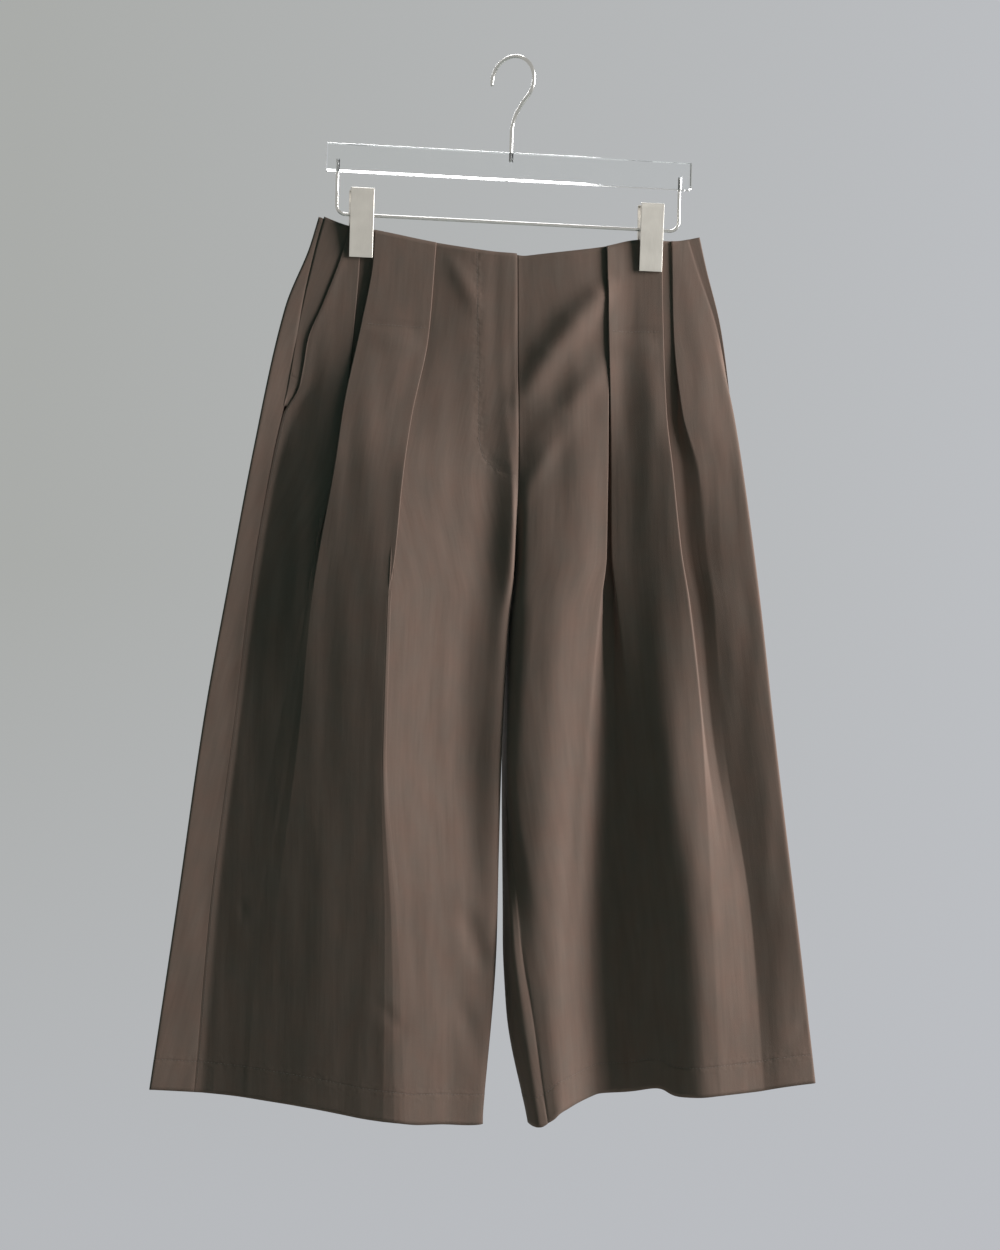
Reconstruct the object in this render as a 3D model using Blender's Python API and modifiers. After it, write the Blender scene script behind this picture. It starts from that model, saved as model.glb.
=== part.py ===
"""Pleated bermuda shorts with wide legs, hung by two clips from a clear bar hanger.

World frame: +X to the viewer's right, +Z up, the front of the garment faces -Y.
The origin is the inside top of the hanger's hook. Tables are in millimetres:
"out" runs from the hook's plane towards the side of each half, "depth" runs
towards the viewer from the hanger's plane. Left and right are the wearer's.
"""

import math

import bmesh
import bpy
from mathutils import Matrix, Vector

MM = 0.001

# Cloth
WALL = 1.2
SEAM_GAP = 0.3
LAYER_STEP = 2.2
CRISP = 0.65
SOFT = 60.0
EASE_SHARE = 0.42
CREASE_SHARE = 0.3
OPENING_START = -6.0
OPENING_WIDTH = 8.0
BACK_DROP = 2.0
PLEAT_LINES = 4

# Pocket facing
FACING_TUCK_TOP = 2.5
FACING_TUCK = 16.0
FACING_SET_BACK = 2.6
FACING_SIDE_GAP = 1.6
FACING_ROWS = 7

# Hanger
BAR_LENGTH = 326.0
BAR_THICK = 9.0
BAR_TOP = -84.0
BAR_BOTTOM = -108.5
BAR_BEVEL = 1.0
WIRE_RADIUS = 1.5
WIRE_SPAN = 305.6
WIRE_LEVEL = -145.5
WIRE_BEND = 8.0
WIRE_TOP = -98.0
HOOK_WIRE_RADIUS = 1.65
HOOK_LOOP_RADIUS = 21.65
HOOK_TURN = math.radians(40.0)
HOOK_FOOT = -92.0
HOLE_CLEARANCE = 0.3

# Clips
CLIP_PLACES = {"right": -131.0, "left": 127.4}
CLIP_WIDTH = 20.6
CLIP_TOP = -122.4
CLIP_BOTTOM = -182.8
CLIP_PLATE = 1.2
CLIP_LEAN = 3.6
CLIP_RISE = (WIRE_LEVEL - CLIP_BOTTOM) / (CLIP_TOP - CLIP_BOTTOM)
CLIP_BEVEL = 0.4
CLIP_EAR_REACH = 5.0
CLIP_EAR_HEIGHT = 9.0
BARREL_LENGTH = 15.0
CLOTH_FRONT_AT_CLIP = 3.95
CLOTH_BACK_AT_CLIP = -4.25

# Share of the way from the waist edge to the hem
STATIONS = {
    "waist": 0.0,
    "clip": 0.035,
    "stitch": 0.106,
    "pocket": 0.203,
    "fly": 0.272,
    "rise": 0.365,
    "crotch": 0.424,
    "thigh": 0.578,
    "knee": 0.79,
    "hem": 1.0,
}
ROWS = (0.0, 0.035, 0.07, 0.106, 0.14, 0.172, 0.203, 0.237, 0.272, 0.318,
        0.365, 0.397, 0.424, 0.5, 0.578, 0.68, 0.79, 0.9, 1.0)

# Height of the waist edge and of the hem by place across (x, z)
WAIST_LINE = ((-168, -147), (-142, -155.5), (-119, -158.3), (-65, -166.5), (-28, -171.5),
              (7, -175.5), (17, -173.5), (84, -163), (118, -155), (147, -154.3), (173, -147.5))
HEM_LINE = ((-292, -912.5), (-256, -913.5), (-222, -917), (-188, -921), (-142, -926),
            (-83, -929.5), (-46, -930), (-17, -937), (30, -932), (41, -934), (48.6, -927.5),
            (59, -919), (80, -916), (100, -914),
            (143, -917), (187, -915), (231, -909), (299, -907))
BACK_HEM_LINE = ((-292, -912.5), (-256, -913.5), (-142, -926), (-17, -935), (45, -934),
                 (143, -922), (231, -911), (299, -907))


def line(**stations):
    """A fold line: its (out, depth) at each station that it names."""
    return {STATIONS[name]: place for name, place in stations.items()}


def pleat(edge_in, tuck_in, tuck_out, edge_out):
    """An inverted pleat: its two edges and the two hidden turns behind them."""
    return (edge_in, tuck_in, tuck_out, edge_out)


INSEAM_RIGHT = line(crotch=(-7.2, -8), thigh=(2, -8), knee=(6, -6), hem=(17, -6))
SIDE_SEAM_RIGHT = line(pocket=(192, 1.5), fly=(202.6, 0), crotch=(219.5, -2), thigh=(230.5, -3),
                       knee=(247, -6), hem=(256.6, -9))

FRONT_RIGHT = {
    "centre": (line(waist=(-7, 4.2), stitch=(-9, 5.2), fly=(-11.6, 17), rise=(-10.6, 8),
                    crotch=(-7.2, -8)), INSEAM_RIGHT),
    "inner": line(waist=(6, 4.8), stitch=(4, 6.2), fly=(-7, 19), rise=(-8.5, 23),
                  crotch=(-7, 28), thigh=(-2.5, 34), knee=(0, 44), hem=(9, 40)),
    "valley": line(waist=(34, 4.6), stitch=(32, 6), fly=(8, 11), rise=(8, 12),
                   crotch=(12, 15), thigh=(17, 18), knee=(20, 34), hem=(26, 32)),
    "pleat_a": pleat(
        line(waist=(62.4, 3.4), stitch=(67, 5), pocket=(67, 11), fly=(60, 18), crotch=(66, 28.5),
             thigh=(60, 36), knee=(54, 43), hem=(44, 46)),
        line(waist=(50, -1), stitch=(55, 0.4), pocket=(60, 4.5), fly=(74, 15.5), crotch=(78, 30),
             thigh=(70, 39), knee=(66, 45), hem=(60, 47)),
        line(waist=(77, -1), stitch=(82, 0.4), pocket=(85, 6), fly=(80, 20), crotch=(88, 34),
             thigh=(80, 41), knee=(78, 47), hem=(76, 46)),
        line(waist=(65, 3.6), stitch=(69.7, 5.2), pocket=(79, 15), fly=(91.5, 28), crotch=(101, 40),
             thigh=(94, 44), knee=(92, 48), hem=(92, 43))),
    "middle": line(waist=(93, 3.7), clip=(94, 3.7), stitch=(96, 6), fly=(124, 23), crotch=(135, 31),
                   thigh=(146, 34), knee=(140, 33), hem=(142, 23)),
    "pleat_b": pleat(
        line(waist=(120.3, 3.2), clip=(121.5, 3.2), stitch=(125, 5), pocket=(140, 15),
             fly=(149.7, 23), crotch=(164, 28), thigh=(170, 29), knee=(172, 19), hem=(172, 10)),
        line(waist=(108, -1.2), stitch=(113, 0.4), pocket=(137, 0), fly=(158, 11), crotch=(173, 17),
             thigh=(180, 19), knee=(183, 13), hem=(186, 4)),
        line(waist=(137, -1.6), stitch=(146, -0.6), pocket=(160, -1.4), fly=(170, -1.5), crotch=(187, 0),
             thigh=(197, 1), knee=(198, 0), hem=(202, -6)),
        line(waist=(129, 2.8), clip=(130.5, 2.8), stitch=(134.6, 3.8), pocket=(152, 5), fly=(180, 4), crotch=(199, 4),
             thigh=(209, 4), knee=(212, 2), hem=(216, -4))),
    "side": line(waist=(135, 2.8), clip=(141, 2.9), stitch=(156, 5), pocket=(176, 3.5), fly=(192, 1), crotch=(208, 0),
                 thigh=(219, 0), knee=(229, -4), hem=(234, -8)),
    "edge": (line(waist=(141, 3), clip=(152, 4.5), stitch=(174.5, 7), pocket=(192, 1.5)),
             SIDE_SEAM_RIGHT),
}

BACK_RIGHT = {
    "seam": (line(waist=(163.5, 0), clip=(170, 0), stitch=(181, 1), pocket=(192, 1.5)),
             SIDE_SEAM_RIGHT),
    "turn_front": line(waist=(168.5, -1.2), clip=(176, -1.6), stitch=(196, -2.5), fly=(220.5, -5),
                       crotch=(239, -7), thigh=(257.5, -9), knee=(276, -12), hem=(295, -14)),
    "turn_back": line(waist=(166.5, -4.2), clip=(173.5, -4.4), stitch=(194, -11), fly=(217.5, -17),
                      crotch=(235, -21), thigh=(253, -27), knee=(271, -35), hem=(288.5, -40)),
    "side": line(waist=(150, -3.4), clip=(152, -3.4), stitch=(162, -15), fly=(184, -26),
                 crotch=(198, -34), thigh=(214, -42), knee=(228, -48), hem=(238, -54)),
    "fold": line(waist=(96, -3.4), clip=(96, -3.4), stitch=(110, -15), fly=(124, -36),
                 crotch=(132, -46), thigh=(142, -50), knee=(150, -50), hem=(152, -46)),
    "hollow": line(waist=(52, -9), stitch=(60, -19), fly=(70, -36), crotch=(82, -40),
                   thigh=(92, -40), knee=(98, -38), hem=(100, -40)),
    "inner": line(waist=(15, -12), stitch=(20, -22), fly=(25, -42), crotch=(30, -54),
                  thigh=(40, -54), knee=(46, -56), hem=(52, -58)),
    "wall": line(waist=(6, -12), stitch=(6, -22), fly=(4, -39), rise=(-2, -42), crotch=(-5, -38),
                 thigh=(2, -34), knee=(6, -34), hem=(17, -34)),
    "end": (line(waist=(0, -12), stitch=(0, -22), fly=(-0.2, -37), rise=(-7, -26),
                 crotch=(-7.2, -8)), INSEAM_RIGHT),
}

INSEAM_LEFT = line(crotch=(9.2, -8), thigh=(9, 6), knee=(22, 47), hem=(45, 58))
SIDE_SEAM_LEFT = line(pocket=(208, -6.5), fly=(216, -10), crotch=(236.8, -13), thigh=(254.5, -15),
                      knee=(277.5, -17), hem=(302, -19))

FRONT_LEFT = {
    "centre": (line(waist=(-6, 2.2), stitch=(-4, 2.6), fly=(9.6, 12.8), rise=(12.8, 7.6),
                    crotch=(9.2, -8)), INSEAM_LEFT),
    "inner": line(waist=(18, 3), stitch=(22, 4.2), fly=(24, 17), rise=(25, 25),
                  crotch=(14, 29), thigh=(7.5, 31), knee=(36, 52.5), hem=(62, 59)),
    "bulge": line(waist=(54, 4.4), stitch=(60, 6), fly=(62, 21), rise=(62, 27), crotch=(52, 33),
                  thigh=(46, 34), knee=(66, 42), hem=(86, 31)),
    "pleat_a": pleat(
        line(waist=(85.3, 3.4), stitch=(90, 5), pocket=(91, 11), fly=(91.5, 16), rise=(93.5, 18),
             crotch=(88, 17), thigh=(86, 14), knee=(98, 15), hem=(112, 4)),
        line(waist=(73, -1), stitch=(78, 0.4), pocket=(81, 4), fly=(85, 4), rise=(89, 3),
             crotch=(94, 2), thigh=(106, 0), knee=(122, -10), hem=(136, -24)),
        line(waist=(97, -1), stitch=(103, 0.4), pocket=(103, 3), fly=(105, 1), rise=(109, -2),
             crotch=(116, -4), thigh=(130, -5), knee=(151, -16), hem=(172, -29)),
        line(waist=(87.9, 3.2), stitch=(92.7, 4.6), pocket=(94, 9), fly=(96, 12), rise=(101, 13),
             crotch=(108, 13), thigh=(127, 13), knee=(148, 9), hem=(166, 4))),
    "middle": line(waist=(112, 3.3), clip=(113, 3.3), stitch=(116, 5.6), pocket=(117, 11), fly=(124, 15),
                   rise=(131, 17), crotch=(135, 19), thigh=(152, 25), knee=(180, 29), hem=(192, 24)),
    "pleat_b": pleat(
        line(waist=(137.6, 3.2), clip=(138.3, 3.3), stitch=(140, 5), pocket=(143, 14), fly=(148.7, 21), rise=(158, 26),
             crotch=(163, 29), thigh=(178, 35), knee=(213, 36), hem=(230, 36)),
        line(waist=(125, -1.2), stitch=(128, 0.4), pocket=(137, 4), fly=(146, 7), rise=(159, 9),
             crotch=(169, 10), thigh=(190, 25), knee=(223, 30), hem=(240, 30)),
        line(waist=(155, -1.6), stitch=(159, -0.6), pocket=(164, 0), fly=(167, 2), rise=(173, 5),
             crotch=(182, 8), thigh=(202, 18), knee=(234, 23), hem=(248, 24)),
        line(waist=(146.5, 2.8), stitch=(150, 3.8), pocket=(159, 8), fly=(174, 11), rise=(190, 14),
             crotch=(200, 15), thigh=(214, 15), knee=(244, 17), hem=(256, 18))),
    "side": line(waist=(151, 2.4), stitch=(172, 4), fly=(198, 4), crotch=(217, 7), thigh=(236, 9),
                 knee=(262, 9), hem=(276, 9)),
    "turn_front": line(waist=(157, 2), stitch=(187, 2.5), pocket=(206, 1), fly=(214.5, -1),
                       crotch=(235.5, -2), thigh=(253.5, -3), knee=(276.5, -4), hem=(300.5, -5)),
    "edge": (line(waist=(162, 1.8), clip=(173, 1.5), stitch=(192.5, -1), pocket=(208, -6.5)),
             SIDE_SEAM_LEFT),
}

BACK_LEFT = {
    "seam": (line(waist=(172.5, -1.4), clip=(180, -2), stitch=(195, -5), pocket=(208, -6.5)),
             SIDE_SEAM_LEFT),
    "turn_back": line(waist=(172.5, -4.4), clip=(180, -5.5), stitch=(194, -13), pocket=(207, -16),
                      fly=(215, -20), crotch=(235.5, -26), thigh=(253.5, -33), knee=(276, -38),
                      hem=(300, -40)),
    "side": line(waist=(155, -3.4), clip=(155, -3.4), stitch=(166, -15), fly=(186, -27),
                 crotch=(200, -36), thigh=(216, -44), knee=(240, -50), hem=(256, -54)),
    "fold": line(waist=(100, -3.4), clip=(100, -3.4), stitch=(114, -15), fly=(126, -36),
                 crotch=(136, -46), thigh=(150, -48), knee=(166, -46), hem=(178, -42)),
    "hollow": line(waist=(54, -9), stitch=(62, -19), fly=(72, -36), crotch=(86, -42),
                   thigh=(102, -42), knee=(116, -46), hem=(124, -50)),
    "inner": line(waist=(15, -12), stitch=(20, -22), fly=(25, -42), crotch=(36, -53),
                  thigh=(46, -53), knee=(54, -54), hem=(66, -52)),
    "wall": line(waist=(6, -12), stitch=(6, -22), fly=(4, -39), rise=(9, -42), crotch=(11, -38),
                 thigh=(11, -36), knee=(11, -22), hem=(37, -14)),
    "crest": line(waist=(3, -12), stitch=(3, -22), fly=(2, -38), rise=(9, -34), crotch=(10, -24),
                  thigh=(9.4, -15), knee=(10.5, 37), hem=(33, 52)),
    "end": (line(waist=(0, -12), stitch=(0, -22), fly=(1.4, -37), rise=(8.8, -26),
                 crotch=(9.2, -8)), INSEAM_LEFT),
}

HALVES = {
    "right": {"side": -1, "front": FRONT_RIGHT, "back": BACK_RIGHT, "facing_end": 0.185,
              "facing_sink": (0.0, 1.6)},
    "left": {"side": 1, "front": FRONT_LEFT, "back": BACK_LEFT, "facing_end": 0.09,
             "facing_sink": (-0.9, -0.9)},
}


def smooth_table(table, t):
    """Values of a table at t: a monotone cubic through its rows, flat past its ends."""
    keys = sorted(table)
    if t <= keys[0]:
        return tuple(table[keys[0]])
    if t >= keys[-1]:
        return tuple(table[keys[-1]])
    index = max(i for i, key in enumerate(keys[:-1]) if key <= t)
    gap = keys[index + 1] - keys[index]
    share = (t - keys[index]) / gap
    result = []
    for column in range(len(table[keys[0]])):
        values = [table[key][column] for key in keys]
        slopes = [(values[i + 1] - values[i]) / (keys[i + 1] - keys[i]) for i in range(len(keys) - 1)]
        tangents = [slopes[0]]
        for before, after in zip(slopes, slopes[1:]):
            same_way = before * after > 0
            tangents.append(2 * before * after / (before + after) if same_way else 0.0)
        tangents.append(slopes[-1])
        start, end = values[index], values[index + 1]
        lean_in = tangents[index] * gap
        lean_out = tangents[index + 1] * gap
        square = share * share
        cube = square * share
        result.append(start * (2 * cube - 3 * square + 1) + lean_in * (cube - 2 * square + share)
                      + end * (3 * square - 2 * cube) + lean_out * (cube - square))
    return tuple(result)


def place_at(rows, t):
    """The (out, depth) of a fold line at t, which may change to a shared seam on its way down."""
    if isinstance(rows, tuple):
        upper, lower = rows
        rows = upper if t <= max(upper) else lower
    return Vector(smooth_table(rows, t))


def height_at(profile, x):
    """Height of an edge at x, from its rows of (x, z)."""
    return smooth_table({row[0]: (row[1],) for row in profile}, x)[0]


def mix(start, end, share):
    """The point that lies a share of the way from start to end."""
    return start + (end - start) * share


def clamp(value):
    """The value kept between 0 and 1."""
    return max(0.0, min(1.0, value))


def pleat_half(edge, tuck, outward):
    """Front and back turns at a pleat's edge, then at its hidden turn, with the fold's opening.

    Closed, the cloth doubles back behind its edge; open, both turns lie on the valley's wall.
    """
    reach = (tuck.x - edge.x) * outward
    opened = clamp((reach - OPENING_START) / OPENING_WIDTH)
    closed_back = edge - Vector((0.0, LAYER_STEP))
    closed_turn = tuck + Vector((0.0, LAYER_STEP))
    edge_back = mix(closed_back, mix(edge, tuck, CREASE_SHARE), opened)
    turn_front = mix(closed_turn, mix(tuck, edge, CREASE_SHARE), opened)
    return edge_back, turn_front, mix(CRISP, SOFT, opened)


def controls(table, t):
    """The corner points of one section, each with its easing and its number of samples."""
    corners = []
    for rows in table.values():
        if len(rows) != PLEAT_LINES or isinstance(rows, dict):
            corners.append((place_at(rows, t), SOFT, 3))
            continue
        edge_in, tuck_in, tuck_out, edge_out = (place_at(one, t) for one in rows)
        back_in, turn_in, ease_in = pleat_half(edge_in, tuck_in, 1)
        back_out, turn_out, ease_out = pleat_half(edge_out, tuck_out, -1)
        corners += [(edge_in, ease_in, 3), (back_in, ease_in, 2), (turn_in, ease_in, 2),
                    (tuck_in, ease_in, 2), (tuck_out, ease_out, 2), (turn_out, ease_out, 2),
                    (back_out, ease_out, 2), (edge_out, ease_out, 3)]
    return corners


def section(table, t):
    """One cross-section of a panel: its corner points joined by straight runs and rounded turns."""
    corners = controls(table, t)
    first, last = corners[0][0], corners[-1][0]
    after_first, before_last = corners[1][0], corners[-2][0]
    trim = SEAM_GAP / 2
    path = [first + (after_first - first).normalized() * trim]
    for before, (corner, ease, samples), after in zip(corners, corners[1:], corners[2:]):
        to_before = before[0] - corner
        to_after = after[0] - corner
        reach = min(ease, EASE_SHARE * to_before.length, EASE_SHARE * to_after.length)
        start = corner + to_before.normalized() * reach
        end = corner + to_after.normalized() * reach
        for sample in range(samples):
            share = sample / (samples - 1)
            path.append(mix(mix(start, corner, share), mix(corner, end, share), share))
    path.append(last + (before_last - last).normalized() * trim)
    return path


def panel_grid(table, side, hem_line, drop=0.0):
    """World points of a panel, a list for each row, from the waist edge to the hem."""
    tops = [height_at(WAIST_LINE, side * point.x) - drop for point in section(table, 0.0)]
    bottoms = [height_at(hem_line, side * point.x) for point in section(table, 1.0)]
    grid = []
    for t in ROWS:
        row = []
        for point, top, bottom in zip(section(table, t), tops, bottoms):
            row.append(Vector((side * point.x, -point.y, mix(top, bottom, t))) * MM)
        grid.append(row)
    return grid


def facing_grid(half):
    """World points of a slant pocket's facing, from behind its mouth to the side seam."""
    side = half["side"]
    hem = height_at(HEM_LINE, side * place_at(half["back"]["seam"], 1.0).x)
    grid = []
    for index in range(FACING_ROWS):
        share = index / (FACING_ROWS - 1)
        t = half["facing_end"] * share
        mouth = place_at(half["front"]["edge"], t)
        seam = place_at(half["back"]["seam"], t)
        behind = min(mouth.y, place_at(half["front"]["side"], t).y) - FACING_SET_BACK
        tucked = Vector((mouth.x - mix(FACING_TUCK_TOP, FACING_TUCK, share), behind))
        under = Vector((mouth.x - 1.0, min(mouth.y - FACING_SET_BACK, seam.y)))
        end = seam - Vector((FACING_SIDE_GAP, mix(*half["facing_sink"], share)))
        row = []
        for point in (tucked, mix(tucked, under, 0.5), under, mix(under, end, 0.5), end):
            top = height_at(WAIST_LINE, side * point.x)
            row.append(Vector((side * point.x, -point.y, mix(top, hem, t))) * MM)
        grid.append(row)
    return grid


def new_material(name, color, roughness, metallic=0.0, alpha=1.0):
    """A Principled material with one colour."""
    material = bpy.data.materials.new(name)
    material.use_nodes = True
    shader = material.node_tree.nodes["Principled BSDF"]
    shader.inputs["Base Color"].default_value = (*color, 1.0)
    shader.inputs["Roughness"].default_value = roughness
    shader.inputs["Metallic"].default_value = metallic
    shader.inputs["Alpha"].default_value = alpha
    return material


def link(obj, material):
    """Put an object in the part's collection and give it its material."""
    PART.objects.link(obj)
    obj.data.materials.append(material)
    return obj


def cloth_panel(name, grid):
    """A cloth panel: an open surface through a grid of points, given its wall by Solidify."""
    mesh = bpy.data.meshes.new(name)
    columns = len(grid[0])
    points = [point for row in grid for point in row]
    faces = []
    for row in range(len(grid) - 1):
        for column in range(columns - 1):
            corner = row * columns + column
            faces.append((corner, corner + 1, corner + columns + 1, corner + columns))
    mesh.from_pydata(points, [], faces)
    mesh.shade_smooth()
    panel = link(bpy.data.objects.new(name, mesh), CLOTH)
    wall = panel.modifiers.new("wall", "SOLIDIFY")
    wall.thickness = WALL * MM
    wall.offset = 0.0
    return panel


def wire(name, points, radius, material):
    """A round wire along world points, with filled ends, as one closed mesh."""
    curve = bpy.data.curves.new(name, "CURVE")
    curve.dimensions = "3D"
    curve.bevel_depth = radius * MM
    curve.bevel_resolution = 2
    curve.use_fill_caps = True
    spline = curve.splines.new("POLY")
    spline.points.add(len(points) - 1)
    for target, point in zip(spline.points, points):
        target.co = (*(Vector(point) * MM), 1.0)
    guide = bpy.data.objects.new(name + "_curve", curve)
    bpy.context.scene.collection.objects.link(guide)
    depsgraph = bpy.context.evaluated_depsgraph_get()
    depsgraph.update()
    mesh = bpy.data.meshes.new_from_object(guide.evaluated_get(depsgraph))
    bpy.data.objects.remove(guide)
    mesh.name = name
    solid = bmesh.new()
    solid.from_mesh(mesh)
    bmesh.ops.remove_doubles(solid, verts=solid.verts, dist=0.00001)
    bmesh.ops.recalc_face_normals(solid, faces=solid.faces)
    solid.to_mesh(mesh)
    solid.free()
    mesh.shade_smooth()
    return link(bpy.data.objects.new(name, mesh), material)


def box_mesh(name, size):
    """A box mesh of the given size in millimetres, centred on its origin."""
    mesh = bpy.data.meshes.new(name)
    solid = bmesh.new()
    bmesh.ops.create_cube(solid, size=1.0)
    bmesh.ops.scale(solid, vec=Vector(size) * MM, verts=solid.verts)
    solid.to_mesh(mesh)
    solid.free()
    return mesh


def hook_points():
    """The hook's centre line: a turned loop over the rail, then an S-bend down to its stem."""
    flat = []
    for step in range(19):
        angle = math.radians(mix(188.0, -46.0, step / 18))
        flat.append(Vector((math.cos(angle), math.sin(angle))) * HOOK_LOOP_RADIUS)
    centre = HOOK_WIRE_RADIUS - HOOK_LOOP_RADIUS
    flat = [Vector((point.x, point.y + centre)) for point in flat]
    loop_end = flat[-1]
    leave = Vector((math.sin(math.radians(-46.0)), -math.cos(math.radians(-46.0))))
    reach = loop_end + leave * 13.0
    neck = Vector((0.0, -56.0))
    stem = Vector((0.0, -66.0))
    for step in range(1, 9):
        share = step / 8
        low = mix(loop_end, reach, share)
        middle = mix(reach, neck, share)
        high = mix(neck, stem, share)
        flat.append(mix(mix(low, middle, share), mix(middle, high, share), share))
    flat.append(Vector((0.0, -80.0)))
    flat.append(Vector((0.0, HOOK_FOOT)))
    across = Vector((math.cos(HOOK_TURN), -math.sin(HOOK_TURN), 0.0))
    return [across * point.x + Vector((0.0, 0.0, point.y)) for point in flat]


def clip_wire_points():
    """The lower wire: up into the bar at both ends, with a round bend at each corner."""
    half = WIRE_SPAN / 2
    left = [Vector((-half, 0.0, WIRE_TOP))]
    for step in range(7):
        angle = math.radians(180 + 90 * step / 6)
        left.append(Vector((-half + WIRE_BEND + WIRE_BEND * math.cos(angle), 0.0,
                            WIRE_LEVEL + WIRE_BEND + WIRE_BEND * math.sin(angle))))
    right = [Vector((-point.x, 0.0, point.z)) for point in reversed(left)]
    return left + right


def make_bar():
    """The clear bar, with a blind hole for the hook's stem and one for each end of the wire."""
    mesh = box_mesh("hanger_bar", (BAR_LENGTH, BAR_THICK, BAR_TOP - BAR_BOTTOM))
    bar = link(bpy.data.objects.new("hanger_bar", mesh), ACRYLIC)
    bar.location = (0.0, 0.0, (BAR_TOP + BAR_BOTTOM) / 2 * MM)
    edges = bar.modifiers.new("edges", "BEVEL")
    edges.width = BAR_BEVEL * MM
    edges.segments = 2
    holes = {
        "stem": (0.0, HOOK_FOOT - 0.5, BAR_TOP + 5.0, HOOK_WIRE_RADIUS),
        "wire_right": (-WIRE_SPAN / 2, BAR_BOTTOM - 5.0, WIRE_TOP + 0.5, WIRE_RADIUS),
        "wire_left": (WIRE_SPAN / 2, BAR_BOTTOM - 5.0, WIRE_TOP + 0.5, WIRE_RADIUS),
    }
    for name, (x, low, high, radius) in holes.items():
        cutter_mesh = bpy.data.meshes.new("cut_" + name)
        solid = bmesh.new()
        bmesh.ops.create_cone(solid, cap_ends=True, segments=16, depth=(high - low) * MM,
                              radius1=(radius + HOLE_CLEARANCE) * MM,
                              radius2=(radius + HOLE_CLEARANCE) * MM,
                              matrix=Matrix.Translation(Vector((x, 0.0, (low + high) / 2)) * MM))
        solid.to_mesh(cutter_mesh)
        solid.free()
        cut = bar.modifiers.new(name, "BOOLEAN")
        cut.operation = "DIFFERENCE"
        cut.object = helper("cut_" + name, cutter_mesh)
    return bar


def helper(name, mesh):
    """A hidden object that cuts or joins other pieces."""
    obj = bpy.data.objects.new(name, mesh)
    CUTTERS.objects.link(obj)
    obj.hide_render = True
    obj.display_type = "WIRE"
    return obj


def clip_jaw(name, x, face, cloth):
    """One jaw of a clip: a leaning plate with two ears, whose lower end touches the cloth."""
    length = CLIP_TOP - CLIP_BOTTOM
    jaw = link(bpy.data.objects.new(name, box_mesh(name, (CLIP_WIDTH, CLIP_PLATE, length))), NICKEL)
    for corner in jaw.data.vertices:
        share = corner.co.z / (length * MM) + 0.5
        corner.co.y -= face * CLIP_LEAN * share * MM
    jaw.location = Vector((x, -face * (cloth + SEAM_GAP + CLIP_PLATE / 2), CLIP_BOTTOM + length / 2)) * MM
    edges = jaw.modifiers.new("edges", "BEVEL")
    edges.width = CLIP_BEVEL * MM
    edges.segments = 2
    ear_mesh = box_mesh("ear", (CLIP_PLATE, CLIP_EAR_REACH, CLIP_EAR_HEIGHT))
    plate_depth = cloth + SEAM_GAP + CLIP_PLATE / 2 + CLIP_LEAN * CLIP_RISE
    for end in (-1, 1):
        ear = helper(f"{name}_ear_{end}", ear_mesh)
        ear.location = Vector((x + end * (CLIP_WIDTH / 2 - CLIP_PLATE),
                               -face * (plate_depth - CLIP_EAR_REACH / 2), WIRE_LEVEL)) * MM
        join = jaw.modifiers.new(ear.name, "BOOLEAN")
        join.operation = "UNION"
        join.object = ear
    return jaw


def clip_barrel(name, x, radius):
    """The spring barrel that turns on the wire between a clip's two jaws."""
    profile = ((WIRE_RADIUS + HOLE_CLEARANCE, -0.5), (WIRE_RADIUS + HOLE_CLEARANCE, 0.5),
               (radius, 0.5), (radius, -0.5))
    mesh = bpy.data.meshes.new(name)
    points = [Vector((0.0, distance, along * BARREL_LENGTH)) * MM for distance, along in profile]
    edges = [(0, 1), (1, 2), (2, 3), (3, 0)]
    mesh.from_pydata(points, edges, [])
    barrel = link(bpy.data.objects.new(name, mesh), NICKEL)
    turn = barrel.modifiers.new("turn", "SCREW")
    turn.steps = 20
    turn.render_steps = 20
    turn.use_merge_vertices = True
    turn.merge_threshold = 0.00001
    barrel.rotation_euler = (0.0, math.radians(90.0), 0.0)
    barrel.location = (x * MM, 0.0, WIRE_LEVEL * MM)
    return barrel


for scene_object in list(bpy.data.objects):
    bpy.data.objects.remove(scene_object)

PART = bpy.data.collections.new("pleated_bermuda_shorts")
CUTTERS = bpy.data.collections.new("cutters")
for collection in (PART, CUTTERS):
    bpy.context.scene.collection.children.link(collection)

CLOTH = new_material("taupe_cotton", (0.110, 0.082, 0.068), 0.85)
ACRYLIC = new_material("clear_acrylic", (0.93, 0.95, 0.96), 0.05, alpha=0.3)
STEEL = new_material("steel_wire", (0.52, 0.50, 0.48), 0.32, metallic=1.0)
NICKEL = new_material("satin_nickel", (0.62, 0.58, 0.52), 0.36, metallic=1.0)


def build():
    """Make every piece of the shorts and of the hanger."""
    for name, half in HALVES.items():
        cloth_panel("front_" + name, panel_grid(half["front"], half["side"], HEM_LINE))
        cloth_panel("back_" + name, panel_grid(half["back"], half["side"], BACK_HEM_LINE, BACK_DROP))
        cloth_panel("pocket_facing_" + name, facing_grid(half))
    make_bar()
    wire("hook", hook_points(), HOOK_WIRE_RADIUS, STEEL)
    wire("clip_wire", clip_wire_points(), WIRE_RADIUS, STEEL)
    inner_face = CLOTH_FRONT_AT_CLIP + SEAM_GAP + CLIP_LEAN * CLIP_RISE
    for name, x in CLIP_PLACES.items():
        clip_jaw("clip_front_" + name, x, 1, CLOTH_FRONT_AT_CLIP)
        clip_jaw("clip_back_" + name, x, -1, -CLOTH_BACK_AT_CLIP)
        clip_barrel("clip_barrel_" + name, x, inner_face - SEAM_GAP)


build()
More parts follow.
